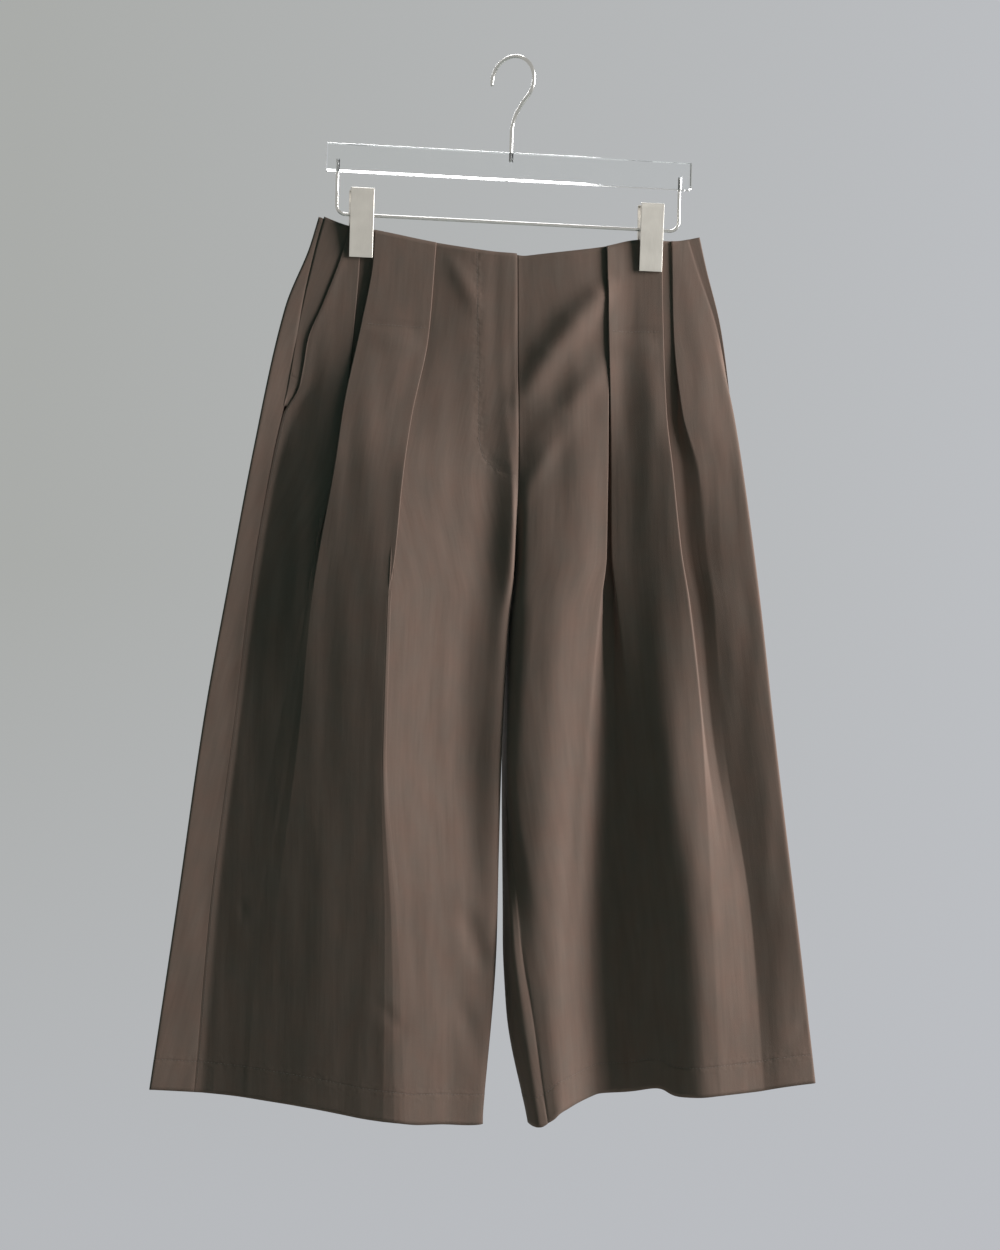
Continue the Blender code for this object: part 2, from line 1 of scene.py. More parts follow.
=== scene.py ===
"""Looks for pleated bermuda shorts hung by two clips from a clear bar hanger.

World frame: +X to the viewer's right, +Z up, the front of the garment faces -Y.
The origin is the inside top of the hanger's hook. Tables are in millimetres:
"out" runs from the hook's plane towards the side of each half, "depth" runs
towards the viewer from the hanger's plane. Left and right are the wearer's.
"""

import math
from functools import lru_cache

import bmesh
import bpy
import numpy as np
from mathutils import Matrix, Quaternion, Vector
from mathutils.bvhtree import BVHTree


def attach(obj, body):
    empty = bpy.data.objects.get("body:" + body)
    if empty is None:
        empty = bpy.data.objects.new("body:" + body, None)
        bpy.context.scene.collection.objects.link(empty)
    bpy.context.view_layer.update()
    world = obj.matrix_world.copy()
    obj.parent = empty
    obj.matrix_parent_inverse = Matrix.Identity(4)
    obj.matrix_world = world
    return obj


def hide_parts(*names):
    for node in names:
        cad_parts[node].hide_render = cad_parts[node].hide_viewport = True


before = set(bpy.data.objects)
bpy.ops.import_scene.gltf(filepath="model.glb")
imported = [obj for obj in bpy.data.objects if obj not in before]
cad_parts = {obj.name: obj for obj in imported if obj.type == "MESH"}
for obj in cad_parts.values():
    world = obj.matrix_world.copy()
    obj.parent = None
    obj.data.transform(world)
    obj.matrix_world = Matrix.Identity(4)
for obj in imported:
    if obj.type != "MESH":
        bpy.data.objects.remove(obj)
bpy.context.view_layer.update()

bl_info = {
    "name": "Pleated bermuda shorts",
    "version": (1, 0, 0),
    "blender": (4, 5, 0),
    "location": "View3D > Sidebar > Shorts",
    "description": "Cotton, sewing, hanger fittings and studio for pleated bermuda shorts",
    "category": "Object",
}

MM = 0.001

# How the cloth is cut and folded
SEAM_TRIM = 0.02
LAYER_STEP = 1.3
CRISP = 0.6
SOFT = 60.0
FIRM = 3.0
EASE_SHARE = 0.48
CREASE_SHARE = 0.3
OPENING_START = -6.0
OPENING_WIDTH = 8.0
BACK_DROP = 2.0
PLEAT_LINES = 4

# How finely it is made
ROW_COUNT = 216
RUN_STEP = 4.2
TURN_SAMPLES = 9
PLEAT_SAMPLES = (7, 4, 4, 4, 4, 4, 4, 7)
SEAM_SHARES = (0.012, 0.035, 0.075, 0.14)
SEAM_CLEAR = 0.05
CREASE_REACH = 0.8
SOFT_REACH = 7.0
CREASE_HOLD = 12.0
BORDER_HOLD = 4.0
BORDER_HEAD = 2.0
EASING_PASSES = 10
FALL_PASSES = 5
SEAM_DIP = 0.24
SEAM_REACH = 1.2
RIM_BULGE = 0.12
CLIP_HOLD_START = 14.0
CLIP_HOLD_LENGTH = 90.0

# Turned edges: extra cloth as shares of the wall, and the softness of their inner edge in metres
HEM_OUTER_SHARE = 0.2
HEM_INNER_SHARE = 0.9
WAIST_INNER_SHARE = 0.4
TURN_SOFTNESS = 0.003

# Stitches, in stitch lengths and thread radii
STITCH_RINGS = ((-0.5, 0.25), (-0.42, 0.75), (-0.2, 1.0), (0.2, 1.0), (0.42, 0.75), (0.5, 0.25))
STITCH_SIDES = 6
STITCH_FLATNESS = 0.8
STITCH_DIP = 3.4
STITCH_GAP = 0.12
STITCH_LIFT = 0.35
STITCH_PATH_STEP = 1.5
RAY_START = -0.3

# Pocket facing
FACING_TUCK_TOP = 2.5
FACING_TUCK = 16.0
FACING_SET_BACK = 1.0
FACING_OVERLAP = 1.0
FACING_ROWS = 60
FACING_TUCK_STEPS = 8
FACING_SHOWN_STEPS = 10
FACING_PASSES = 6

# Hanger
WIRE_RADIUS = 1.5
WIRE_SPAN = 305.6
WIRE_LEVEL = -145.5
WIRE_BEND = 8.0
WIRE_TOP = -98.0
WIRE_END_LEVELS = (WIRE_TOP, -110.0, -122.0, -132.0)
WIRE_BEND_STEPS = 16
HOOK_WIRE_RADIUS = 1.65
HOOK_LOOP_RADIUS = 21.65
HOOK_TURN = math.radians(40.0)
HOOK_LOOP_START = 188.0
HOOK_LOOP_END = -46.0
HOOK_LOOP_STEPS = 48
HOOK_LEAVE = 13.0
HOOK_NECK = -56.0
HOOK_STEM = -66.0
HOOK_NECK_STEPS = 20
HOOK_STEM_LEVELS = (-70.0, -76.0, -82.0, -88.0, -92.0)

# Clips
CLIP_PLACES = {"right": -131.0, "left": 127.4}
CLIP_WIDTH = 20.6
CLIP_TOP = -122.4
CLIP_BOTTOM = -182.8
CLIP_PLATE = 1.2
CLIP_LEAN = 3.6
CLIP_CLEARANCE = 0.3
CLIP_PLATE_STEPS = 12
CLIP_ROLL_STEPS = 6
CLIP_ROLL_END = 1.6
CLIP_EDGE_ROUND = 0.35
CLIP_LIP_SHARE = 0.15
CLIP_LIP_HEIGHT = 0.8
EAR_LEVELS = (-163.0, -125.0)
EAR_STEPS = 15
EAR_REACH = 1.2
EAR_BULGE = 4.2
EAR_SPAN = 9.5
EAR_HALF = 0.5
SHARP_ANGLE = math.radians(38.0)
SPRING_TURNS = 9
SPRING_STEPS = 22
SPRING_SPAN = 13.0
SPRING_CLEARANCE = 0.35
SPRING_LEG = (1.4, 2.8, 4.2)
SPRING_LEG_DROP = 0.2
CLOTH_FRONT_AT_CLIP = 3.95
CLOTH_BACK_AT_CLIP = -4.25

# Share of the way from the waist edge to the hem
STATIONS = {
    "waist": 0.0,
    "clip": 0.035,
    "mouth": 0.094,
    "stitch": 0.106,
    "slant": 0.133,
    "low_mouth": 0.165,
    "tack": 0.19,
    "pocket": 0.203,
    "pocket_foot": 0.218,
    "fly": 0.272,
    "rise": 0.365,
    "crotch": 0.424,
    "thigh": 0.578,
    "knee": 0.79,
    "bend": 0.868,
    "hem": 1.0,
}

# Height of the waist edge and of the hem by place across (x, z)
WAIST_LINE = ((-168, -147), (-142, -155.5), (-119, -158.3), (-65, -166.5), (-28, -170.8),
              (-12, -172.2), (7.1, -172.8), (7.9, -175.6), (17, -174), (84, -163), (118, -155),
              (147, -154.8), (173, -149.6))
HEM_LINE = ((-292, -907.5), (-256, -911), (-222, -913.5), (-188, -917.5), (-157, -921.5),
            (-133, -925.5), (-110, -929.5), (-83, -932.5), (-62, -935.2), (-46, -935.6),
            (-15, -938), (30, -936.5), (36, -938), (44, -939), (50.6, -935.5), (56, -932.5),
            (62, -926.6), (69, -923.8), (77, -921), (91, -917.5), (105, -915.2), (119, -915),
            (133, -912.5), (143, -909.5), (152, -907.8), (157, -908.6), (161.5, -912),
            (168, -913.6), (186, -913.2), (205, -911.7), (225, -910.6), (243, -909.4),
            (262, -906.3), (281, -904), (299, -902.5))
BACK_HEM_LINE = ((-292, -907.5), (-256, -911), (-142, -924), (-17, -936), (34, -936.8), (39, -939),
                 (46, -938.6), (51.5, -935.4), (90, -926), (143, -917), (231, -908), (299, -902.5))


def line(**stations):
    """A fold line: its (out, depth) at each station that it names."""
    return {STATIONS[name]: place for name, place in stations.items()}


def pleat(edge_in, tuck_in, tuck_out, edge_out):
    """An inverted pleat: its two edges and the two hidden turns behind them."""
    return (edge_in, tuck_in, tuck_out, edge_out)


INSEAM_RIGHT = line(crotch=(-7.2, -8), thigh=(2, -8), knee=(6, -6), hem=(17, -6))
SIDE_SEAM_RIGHT = line(pocket=(192, 3.2), fly=(202.6, 5.5), crotch=(219.5, 10), thigh=(230.5, 10),
                       knee=(247, 10.5), hem=(256.6, 9.5))

FRONT_RIGHT = {
    "centre": (line(waist=(-7, 4.2), stitch=(-9, 5.2), fly=(-11.6, 15), rise=(-10.6, 8),
                    crotch=(-7.2, -8)), INSEAM_RIGHT),
    "inner": line(waist=(6, 4.8), stitch=(4, 6.2), fly=(-7, 18), rise=(-9.4, 23),
                  crotch=(-8.4, 23), thigh=(-8, 21), knee=(-8, 21.5), hem=(1.5, 20)),
    "valley": line(waist=(34, 4.6), stitch=(32, 6), fly=(10, 13), rise=(13, 14), crotch=(20, 14.5),
                   thigh=(27, 13), knee=(20, 23.5), hem=(24, 23.5)),
    "pleat_a": pleat(
        line(waist=(67.5, 2.2), stitch=(72.5, 3.6), pocket=(86.5, 13), fly=(94, 25.3),
             rise=(98, 34), crotch=(99.4, 36.5), thigh=(100, 38), knee=(82, 40), hem=(68, 36)),
        line(waist=(58, -0.4), stitch=(63, 0.8), pocket=(78, 8), fly=(86, 19.5), rise=(97, 33.4),
             crotch=(101, 37.1), thigh=(101.6, 38.7), knee=(87, 41.4), hem=(76, 38.4)),
        line(waist=(72, -0.4), stitch=(78, 0.8), pocket=(92, 9), fly=(99, 20.5),
             rise=(101.5, 33.9), crotch=(102.2, 37.3), thigh=(103, 39), knee=(92, 42.2),
             hem=(85, 39.8)),
        line(waist=(65, 3.8), stitch=(69.7, 5.2), pocket=(84, 15.6), fly=(91.5, 28),
             rise=(97.5, 35), crotch=(103.6, 37.2), thigh=(104.6, 38.8), knee=(98, 42),
             hem=(95, 39.6))),
    "middle": line(waist=(93, 4.2), clip=(94, 4.3), stitch=(96, 6.2), pocket=(110, 15.6),
                   fly=(122, 25), crotch=(135, 32), thigh=(140, 32), knee=(145, 34),
                   hem=(146, 31)),
    "pleat_b": pleat(
        line(waist=(119, 4.6), clip=(120, 4.8), stitch=(128.6, 6.2), pocket=(143, 14.4),
             fly=(150, 22), crotch=(167, 27), thigh=(175, 24.6), knee=(190, 23), hem=(196, 20)),
        line(waist=(112.4, 1.9), clip=(113.4, 2), stitch=(121.6, 3.2), pocket=(135, 8.6),
             fly=(143, 16), crotch=(168.6, 26.4), thigh=(180, 22.4), knee=(198, 20.8),
             hem=(206, 17.6)),
        line(waist=(138, 0.6), clip=(138.6, 0.6), stitch=(142, 1.5), pocket=(148, 7),
             fly=(156, 14.6), crotch=(170.4, 25.6), thigh=(186, 20.4), knee=(208, 18),
             hem=(218, 14.6)),
        line(waist=(131.5, 3.2), clip=(132, 3.2), stitch=(135, 4), pocket=(141.5, 12.2),
             fly=(148.4, 20), crotch=(172.4, 24.8), thigh=(192, 18.2), knee=(218, 15.4),
             hem=(230, 12))),
    "side": line(waist=(137, 3), clip=(141, 3), mouth=(155, 3.6), slant=(166, 3.8),
                 tack=(172, 3.2), pocket=(179, 2.8), fly=(197, 4.8), crotch=(214, 9),
                 thigh=(226, 9), knee=(241, 9.5), hem=(250, 8.4)),
    "edge": (line(waist=(141, 3), clip=(147.6, 3.4), mouth=(163.7, 4), slant=(175, 4.2),
                  low_mouth=(178.4, 4.1), tack=(182, 3.8), pocket=(187, 3.4),
                  pocket_foot=(194.4, 3.4)),
             SIDE_SEAM_RIGHT),
}

BACK_RIGHT = {
    "seam": (line(waist=(163.5, 1.2), clip=(170, 1.8), stitch=(181, 2.6), pocket=(192, 3.2)),
             SIDE_SEAM_RIGHT),
    "turn_front": line(waist=(168.5, 1.2), clip=(176, 2.2), stitch=(196, 4), fly=(220.5, 8.6),
                       crotch=(239, 14), thigh=(256.8, 15), knee=(275.6, 16.5), hem=(295, 17.5)),
    "turn_back": line(waist=(166, -4.2), clip=(172, -4.4), stitch=(190, -11), fly=(212.5, -17),
                      crotch=(229, -21), thigh=(246, -27), knee=(263, -35), hem=(280, -40)),
    "side": line(waist=(150, -3.4), clip=(152, -3.4), stitch=(162, -15), fly=(184, -26),
                 crotch=(198, -34), thigh=(214, -42), knee=(228, -48), hem=(238, -54)),
    "fold": line(waist=(96, -3.4), clip=(96, -3.4), stitch=(110, -15), fly=(124, -36),
                 crotch=(132, -46), thigh=(142, -50), knee=(150, -50), hem=(152, -46)),
    "hollow": line(waist=(52, -9), stitch=(60, -19), fly=(70, -36), crotch=(82, -40),
                   thigh=(92, -40), knee=(98, -38), hem=(100, -40)),
    "inner": line(waist=(15, -12), stitch=(20, -22), fly=(25, -42), crotch=(30, -54),
                  thigh=(40, -54), knee=(46, -56), hem=(52, -58)),
    "wall": line(waist=(6, -12), stitch=(6, -22), fly=(4, -39), rise=(-2, -42), crotch=(-5, -38),
                 thigh=(2, -34), knee=(6, -34), hem=(17, -34)),
    "end": (line(waist=(0, -12), stitch=(0, -22), fly=(-0.2, -37), rise=(-7, -26),
                 crotch=(-7.2, -8)), INSEAM_RIGHT),
}

INSEAM_LEFT = line(crotch=(9.2, -8), thigh=(9, 2), knee=(23, 26.4), bend=(34, 28), hem=(51, 28.6))
SIDE_SEAM_LEFT = line(pocket=(207.4, -6.5), fly=(216, -10), crotch=(235.8, -13),
                      thigh=(252.2, -15), knee=(276.2, -17), hem=(301.4, -19))

FRONT_LEFT = {
    "centre": (line(waist=(-6, 2.2), stitch=(-4, 2.6), fly=(9.6, 11.8), rise=(12.8, 7.6),
                    crotch=(9.2, -8)), INSEAM_LEFT),
    "inner": line(waist=(18, 3), stitch=(22, 4.2), fly=(19, 16), rise=(15.5, 21), crotch=(9.6, 22),
                  thigh=(7.5, 22), knee=(38, 29), hem=(61, 29.6)),
    "bulge": line(waist=(54, 4.4), stitch=(60, 6), fly=(62, 20), rise=(60, 24.5), crotch=(50, 27),
                  thigh=(42, 28), knee=(54, 27), hem=(68, 25)),
    "pleat_a": pleat(
        line(waist=(90.5, 2.2), stitch=(91.6, 4), pocket=(91.5, 11), fly=(91.5, 16), rise=(92, 17),
             crotch=(88, 15), thigh=(80, 13), knee=(74, 15), hem=(80, 15)),
        line(waist=(82, -0.4), stitch=(82.5, 0.8), pocket=(83, 4), fly=(85, 5), rise=(88, 4),
             crotch=(93, 2), thigh=(94, 1), knee=(92, 0), hem=(100, -2)),
        line(waist=(95, -0.4), stitch=(99, 0.8), pocket=(101, 3), fly=(102, 4), rise=(103, 2),
             crotch=(104, 1), thigh=(106, 0), knee=(108, -2), hem=(120, -6)),
        line(waist=(87.5, 5.2), stitch=(91, 6.8), pocket=(94, 9.6), fly=(95.6, 11), rise=(98, 11),
             crotch=(104, 10), thigh=(120, 10), knee=(134, 14), hem=(150, 13))),
    "middle": line(waist=(109, 2.2), clip=(109.6, 2.2), stitch=(109, 3.6), pocket=(108, 8.6),
                   fly=(113, 13.2), rise=(115, 14), crotch=(120, 14.4), thigh=(132, 18),
                   knee=(152, 26), hem=(168, 24)),
    "slope": line(waist=(122, 2.9), clip=(123, 2.9), stitch=(124, 5.4), pocket=(131, 15),
                  fly=(133, 20), rise=(137, 21.6), crotch=(142, 23), thigh=(153, 29),
                  knee=(172, 37), hem=(187, 32)),
    "pleat_b": pleat(
        line(waist=(137.6, 3.7), clip=(138.3, 3.7), stitch=(140, 6.2), pocket=(143, 15.2),
             fly=(149, 22), rise=(158, 24.5), crotch=(166, 26), thigh=(181, 25.4),
             knee=(192, 34.6), hem=(205, 29.8)),
        line(waist=(131, 1.4), stitch=(133.5, 2.6), pocket=(137, 3.4), fly=(146, 7), rise=(157, 9),
             crotch=(168, 12), thigh=(184, 18.6), knee=(207, 29), hem=(220, 26)),
        line(waist=(153, 1.4), stitch=(156.6, 2.4), pocket=(156, 3.4), fly=(161, 7), rise=(168, 9),
             crotch=(178, 12), thigh=(192, 16.6), knee=(221, 24.2), hem=(233, 22.6)),
        line(waist=(146.5, 3), stitch=(150, 3.8), pocket=(159, 8.4), fly=(174, 12), rise=(183, 14),
             crotch=(190, 17), thigh=(201, 18.2), knee=(230, 21.4), hem=(247, 20))),
    "side": line(waist=(151, 2.6), stitch=(172, 4), fly=(195, 12.6), crotch=(211, 19.6),
                 thigh=(228, 24.2), knee=(253, 26.2), hem=(274, 20.6)),
    "turn_front": line(waist=(158, 2.2), stitch=(186, 2.5), pocket=(206.2, 6), fly=(214.6, 12.8),
                       crotch=(231, 21), thigh=(246, 25.6), knee=(269.4, 27.4), hem=(294.6, 18)),
    "edge": (line(waist=(162, 1.9), clip=(171, 1.9), stitch=(190.6, 1.5), pocket=(207.4, -6.5)),
             SIDE_SEAM_LEFT),
}

BACK_LEFT = {
    "seam": (line(waist=(172.3, -0.2), clip=(179, -0.8), stitch=(194.6, -3.4),
                  pocket=(207.4, -6.5)),
             SIDE_SEAM_LEFT),
    "turn_back": line(waist=(171, -4.4), clip=(178, -5.5), stitch=(192.6, -13), pocket=(206, -16),
                      fly=(215, -20), crotch=(234.6, -26), thigh=(251.4, -33), knee=(274.8, -38),
                      hem=(300, -40)),
    "side": line(waist=(155, -3.4), clip=(155, -3.4), stitch=(166, -15), fly=(186, -27),
                 crotch=(200, -36), thigh=(216, -44), knee=(240, -50), hem=(256, -54)),
    "fold": line(waist=(100, -3.4), clip=(100, -3.4), stitch=(114, -15), fly=(126, -36),
                 crotch=(136, -46), thigh=(150, -48), knee=(166, -46), hem=(178, -42)),
    "hollow": line(waist=(54, -9), stitch=(62, -19), fly=(72, -36), crotch=(86, -42),
                   thigh=(102, -42), knee=(116, -46), hem=(124, -50)),
    "inner": line(waist=(15, -12), stitch=(20, -22), fly=(25, -42), crotch=(36, -53),
                  thigh=(46, -53), knee=(54, -54), hem=(66, -52)),
    "wall": line(waist=(6, -12), stitch=(6, -22), fly=(4, -39), rise=(9, -42), crotch=(11, -38),
                 thigh=(11, -36), knee=(8.4, -10), bend=(11, 4), hem=(34.6, 10)),
    "crest": line(waist=(3, -12), stitch=(3, -22), fly=(2, -38), rise=(9, -34), crotch=(10, -24),
                  thigh=(9.4, -15), knee=(15.5, 27.2), bend=(24, 29.4), hem=(42, 30)),
    "end": (line(waist=(0, -12), stitch=(0, -22), fly=(1.4, -37), rise=(8.8, -26),
                 crotch=(9.2, -8)), INSEAM_LEFT),
}

HALVES = {
    "right": {"side": -1, "front": FRONT_RIGHT, "back": BACK_RIGHT, "facing_end": 0.22,
              "facing_sink": (0.0, 0.1)},
    "left": {"side": 1, "front": FRONT_LEFT, "back": BACK_LEFT, "facing_end": 0.2,
             "facing_sink": (-0.2, -0.3)},
}

# Soft folds on the fronts, in world millimetres: (x, z, half width, height) along each
FRONT_FOLDS = (
    ((-28, -168, 4, -0.2), (-26, -240, 5, -0.35), (-23.5, -330, 5, -0.4), (-20, -350, 4, 0)),
    ((-12, -178, 7, -0.5), (-11, -240, 8, -0.9), (-9, -320, 8, -0.9), (-4, -360, 7, 0)),
    ((7, -180, 4, 0.3), (7, -240, 4, 0.5), (9, -320, 4, 0.5), (11, -366, 4, 0.1)),
    ((-55, -176, 6, 0.0), (-44, -194, 8, 1.4), (-31, -215, 8, 1.3), (-26, -236, 7, 0)),
    ((95, -190, 6, 0.0), (82, -206, 11, 4.2), (60, -232, 13, 6.0), (38, -260, 13, 5.4),
     (14, -300, 10, 1.6)),
    ((92, -262, 7, 0.0), (74, -284, 11, 2.6), (50, -316, 12, 3.6), (32, -350, 11, 3.0),
     (16, -390, 9, 0.5)),
    ((20, -366, 6, -0.4), (38, -333, 8, -1.5), (56, -312, 8, -1.0), (76, -296, 8, 0)),
    ((-126, -240.4, 2.4, 0.0), (-118, -240.8, 2.6, -0.5), (-84, -241.8, 2.6, -0.5),
     (-71, -242, 2.2, -0.2)),
    ((-122, -254, 8, 0.0), (-106, -256, 9, 0.8), (-88, -257, 9, 0.8), (-76, -258, 7, 0)),
    ((92, -237.4, 2.2, -0.2), (104, -237.8, 2.6, -0.5), (130, -237.2, 2.6, -0.5),
     (140, -236.4, 2.2, 0)),
    ((96, -251, 8, 0.0), (110, -252, 9, 0.7), (128, -251, 8, 0.5), (136, -250, 7, 0)),
    ((-22, -346, 4, 0.0), (-14, -357, 4, -0.5), (2, -366, 4, -0.5), (10, -372, 4, 0)),
    ((-29, -744, 10, 0.0), (-22, -764, 10, -2.2), (-12, -790, 9, -2.0), (-6, -806, 8, 0)),
    ((-30, -822, 8, 0.0), (-22, -846, 8, -1.6), (-11, -884, 8, -0.4)),
    ((-108, -822, 5, 0.0), (-92, -840, 6, -0.7), (-72, -862, 5, 0)),
    ((-70, -838, 5, 0.0), (-84, -858, 6, -0.4), (-96, -880, 5, 0)),
    ((-221, -742, 4, 0.0), (-219, -752, 4, -0.6), (-218, -764, 4, 0)),
    ((-285, -852, 6, 0.0), (-281, -866, 6, -1.2), (-276, -880, 6, 0)),
    ((286, -838, 6, 0.0), (280, -852, 6, -1.0), (270, -868, 7, 0)),
)
BACK_FOLDS = (
    ((60, -330, 10, 0.0), (36, -372, 12, -2.4), (18, -410, 9, 0)),
    ((-60, -330, 10, 0.0), (-38, -368, 12, -2.2), (-16, -412, 9, 0)),
    ((110, -300, 10, 0.0), (80, -330, 12, 1.6), (44, -352, 10, 0)),
    ((-106, -306, 10, 0.0), (-78, -334, 12, 1.5), (-46, -350, 10, 0)),
    ((-190, -560, 12, 0.0), (-196, -680, 14, -1.8), (-204, -800, 12, 0)),
    ((196, -540, 12, 0.0), (206, -660, 14, -1.8), (222, -790, 12, 0)),
    ((-96, -430, 12, 0.0), (-100, -560, 14, 1.6), (-104, -720, 12, 0)),
    ((98, -440, 12, 0.0), (106, -570, 14, 1.6), (120, -730, 12, 0)),
    ((104, -862, 4, 0.0), (92, -876, 4, -0.7), (78, -886, 4, 0)),
)
# Waves of the cloth: length across and down in millimetres, phase, share
RIPPLES = (
    (31.0, 410.0, 0.4, 0.30), (-47.0, 620.0, 1.9, 0.34), (23.0, -350.0, 4.4, 0.16),
    (71.0, 880.0, 2.7, 0.38), (-38.0, -290.0, 5.6, 0.20), (160.0, 95.0, 3.1, 0.22),
)

# Sewing, in world (x, z)
FLY_STITCH = ((-29, -168), (-28.7, -172), (-26.1, -242), (-24.4, -304), (-23.3, -336),
              (-21.8, -346), (-19.5, -353.8), (-13.1, -361.5), (-0.9, -367.4), (14, -369.5))
FLY_LAP = ((7.6, -172), (9.4, -235), (12, -330), (12.4, -372))
FLY_TACK = ((-24.5, -336), (-21.4, -346.5))
SIDE_STITCH = 1.9
SIDE_STITCH_SPANS = {"front_right": (0.2, 0.995), "back_right": (0.01, 0.36),
                     "front_left": (0.21, 0.995), "back_left": (0.01, 0.36)}
FRONT_STITCHES = {
    "front_right": (FLY_STITCH[1:-1], FLY_TACK, ((-124.5, -240.8), (-95, -241.5), (-70.5, -242))),
    "front_left": (((93.5, -237.4), (110, -237.6), (139.2, -236.4)),),
}

CLOTH_PIECES = {
    "front_right": {"kind": "front", "half": "right", "hem": HEM_LINE, "folds": FRONT_FOLDS},
    "front_left": {"kind": "front", "half": "left", "hem": HEM_LINE, "folds": FRONT_FOLDS},
    "back_right": {"kind": "back", "half": "right", "hem": BACK_HEM_LINE, "folds": BACK_FOLDS},
    "back_left": {"kind": "back", "half": "left", "hem": BACK_HEM_LINE, "folds": BACK_FOLDS},
    "pocket_facing_right": {"kind": "facing", "half": "right", "hem": HEM_LINE, "folds": ()},
    "pocket_facing_left": {"kind": "facing", "half": "left", "hem": HEM_LINE, "folds": ()},
}

# Noises of the cotton: cycles a metre across and down the cloth, offset, detail
COTTON_NOISES = ((420.0, 14.0, 0.0, 3.0), (130.0, 17.0, 5.0, 2.0), (34.0, 15.0, 9.0, 3.0),
                 (60.0, 34.0, 21.0, 2.0), (30.0, 760.0, 3.0, 2.0), (170.0, 170.0, 1.0, 1.0))
DYE_DEPTHS = (0.58, 1.42)
HUE_CONTRAST = 1.3
WEFT_SHARE = 0.4
# How far the weave shifts the colour, and how far painted shade darkens the colour in the sewing
# grooves along the hem, the fly stitching and the fly's lap edge
WEAVE_TONE, PAINTED_GROOVE_SHADE = 0.05, 0.14
COTTON_ROUGHNESS, SLUB_POLISH = 0.86, 0.16
THREAD_DEPTHS = (0.7, 1.25)
THREAD_TWIST, TWIST_HEIGHT = 2600.0, 0.00004
THREAD_ROUGHNESS, TWIST_POLISH = 0.62, 0.2
# Widths of the sewing's grooves, which also carry painted shade in the colour, and of the puckers
# beside them, in metres
HEM_GROOVE, FLY_GROOVE, LAP_GROOVE = 0.0011, 0.0010, 0.0006
HEM_PUCKER, FLY_PUCKER = 0.006, 0.005
FLY_SHARE, STITCH_GROOVE_SHARE = 0.4, 0.45
# Heights of the bump, in metres
WEAVE_HEIGHT, STREAK_HEIGHT, SLUB_HEIGHT = 0.000022, 0.00005, 0.00016
SEWN_DEPTH, PUCKER_HEIGHT = 0.00032, 0.0005

METAL_DEPTHS = (0.86, 1.1)
METAL_CLOUD, METAL_LINE_HEIGHT = 70.0, 0.00001
LINE_SHARE, CLOUD_SHARE = 0.5, 0.6
LINE_POLISH, CLOUD_POLISH = 0.16, 0.1
NICKEL_GRAIN, NICKEL_ROUGHNESS = (2400.0, 2400.0, 60.0), 0.42
STEEL_GRAIN, STEEL_ROUGHNESS = (900.0, 900.0, 900.0), 0.24
ACRYLIC_CLOUD = 45.0
ACRYLIC_TONES = ((0.96, 0.975, 0.975), (0.99, 0.995, 0.995))
FLOOR_DEPTHS = (0.96, 1.0)
FLOOR_CLOUD = 1.5

# Studio and camera, in metres
FLOOR_RADIUS = 2.9
FLOOR_SIDES = 96
FLOOR_LEVEL = -1.9
MIDDLE_LEVEL = -0.52
KEY_SIZE = (0.9, 1.6)
CAMERA_PLACE = (-0.3134, -2.0967, -0.5008)
CAMERA_TURN = math.radians(-8.5)
CAMERA_TILT = math.radians(1.518)
CAMERA_LENS = 69.12
CAMERA_SHIFT = 0.0012
# Parts of the view's direction between which the backdrop changes, and by what share: painted
# light brightens it towards the right, and it grows lighter towards the floor
SIDE_CHANGE = (-0.05, 0.35, 1.0)
LOW_CHANGE = (0.02, -0.24, 0.7)


def smooth_table(table, t):
    """Values of a table at t: a monotone cubic through its rows, flat past its ends."""
    keys = sorted(table)
    if t <= keys[0]:
        return tuple(table[keys[0]])
    if t >= keys[-1]:
        return tuple(table[keys[-1]])
    index = max(i for i, key in enumerate(keys[:-1]) if key <= t)
    gap = keys[index + 1] - keys[index]
    share = (t - keys[index]) / gap
    result = []
    for column in range(len(table[keys[0]])):
        values = [table[key][column] for key in keys]
        slopes = [(values[i + 1] - values[i]) / (keys[i + 1] - keys[i])
                  for i in range(len(keys) - 1)]
        tangents = [slopes[0]]
        for before, after in zip(slopes, slopes[1:]):
            same_way = before * after > 0
            tangents.append(2 * before * after / (before + after) if same_way else 0.0)
        tangents.append(slopes[-1])
        start, end = values[index], values[index + 1]
        lean_in = tangents[index] * gap
        lean_out = tangents[index + 1] * gap
        square = share * share
        cube = square * share
        result.append(start * (2 * cube - 3 * square + 1) + lean_in * (cube - 2 * square + share)
                      + end * (3 * square - 2 * cube) + lean_out * (cube - square))
    return tuple(result)


def place_at(rows, t):
    """The (out, depth) of a fold line at t, which may change to a shared seam on its way down."""
    if isinstance(rows, tuple):
        upper, lower = rows
        rows = upper if t <= max(upper) else lower
    return np.array(smooth_table(rows, t))


def height_at(profile, x):
    """Height of an edge at x, from its rows of (x, z)."""
    return smooth_table({row[0]: (row[1],) for row in profile}, x)[0]


def mix(start, end, share):
    """The value that lies a share of the way from start to end."""
    return start + (end - start) * share


def clamp(value):
    """The value kept between 0 and 1."""
    return max(0.0, min(1.0, value))


def smoothstep(value):
    """A soft step from 0 to 1 for an array of values."""
    held = np.clip(value, 0.0, 1.0)
    return held * held * (3.0 - 2.0 * held)


def is_pleat(rows):
    """Whether a table entry is an inverted pleat rather than one fold line."""
    return len(rows) == PLEAT_LINES and not isinstance(rows, dict)


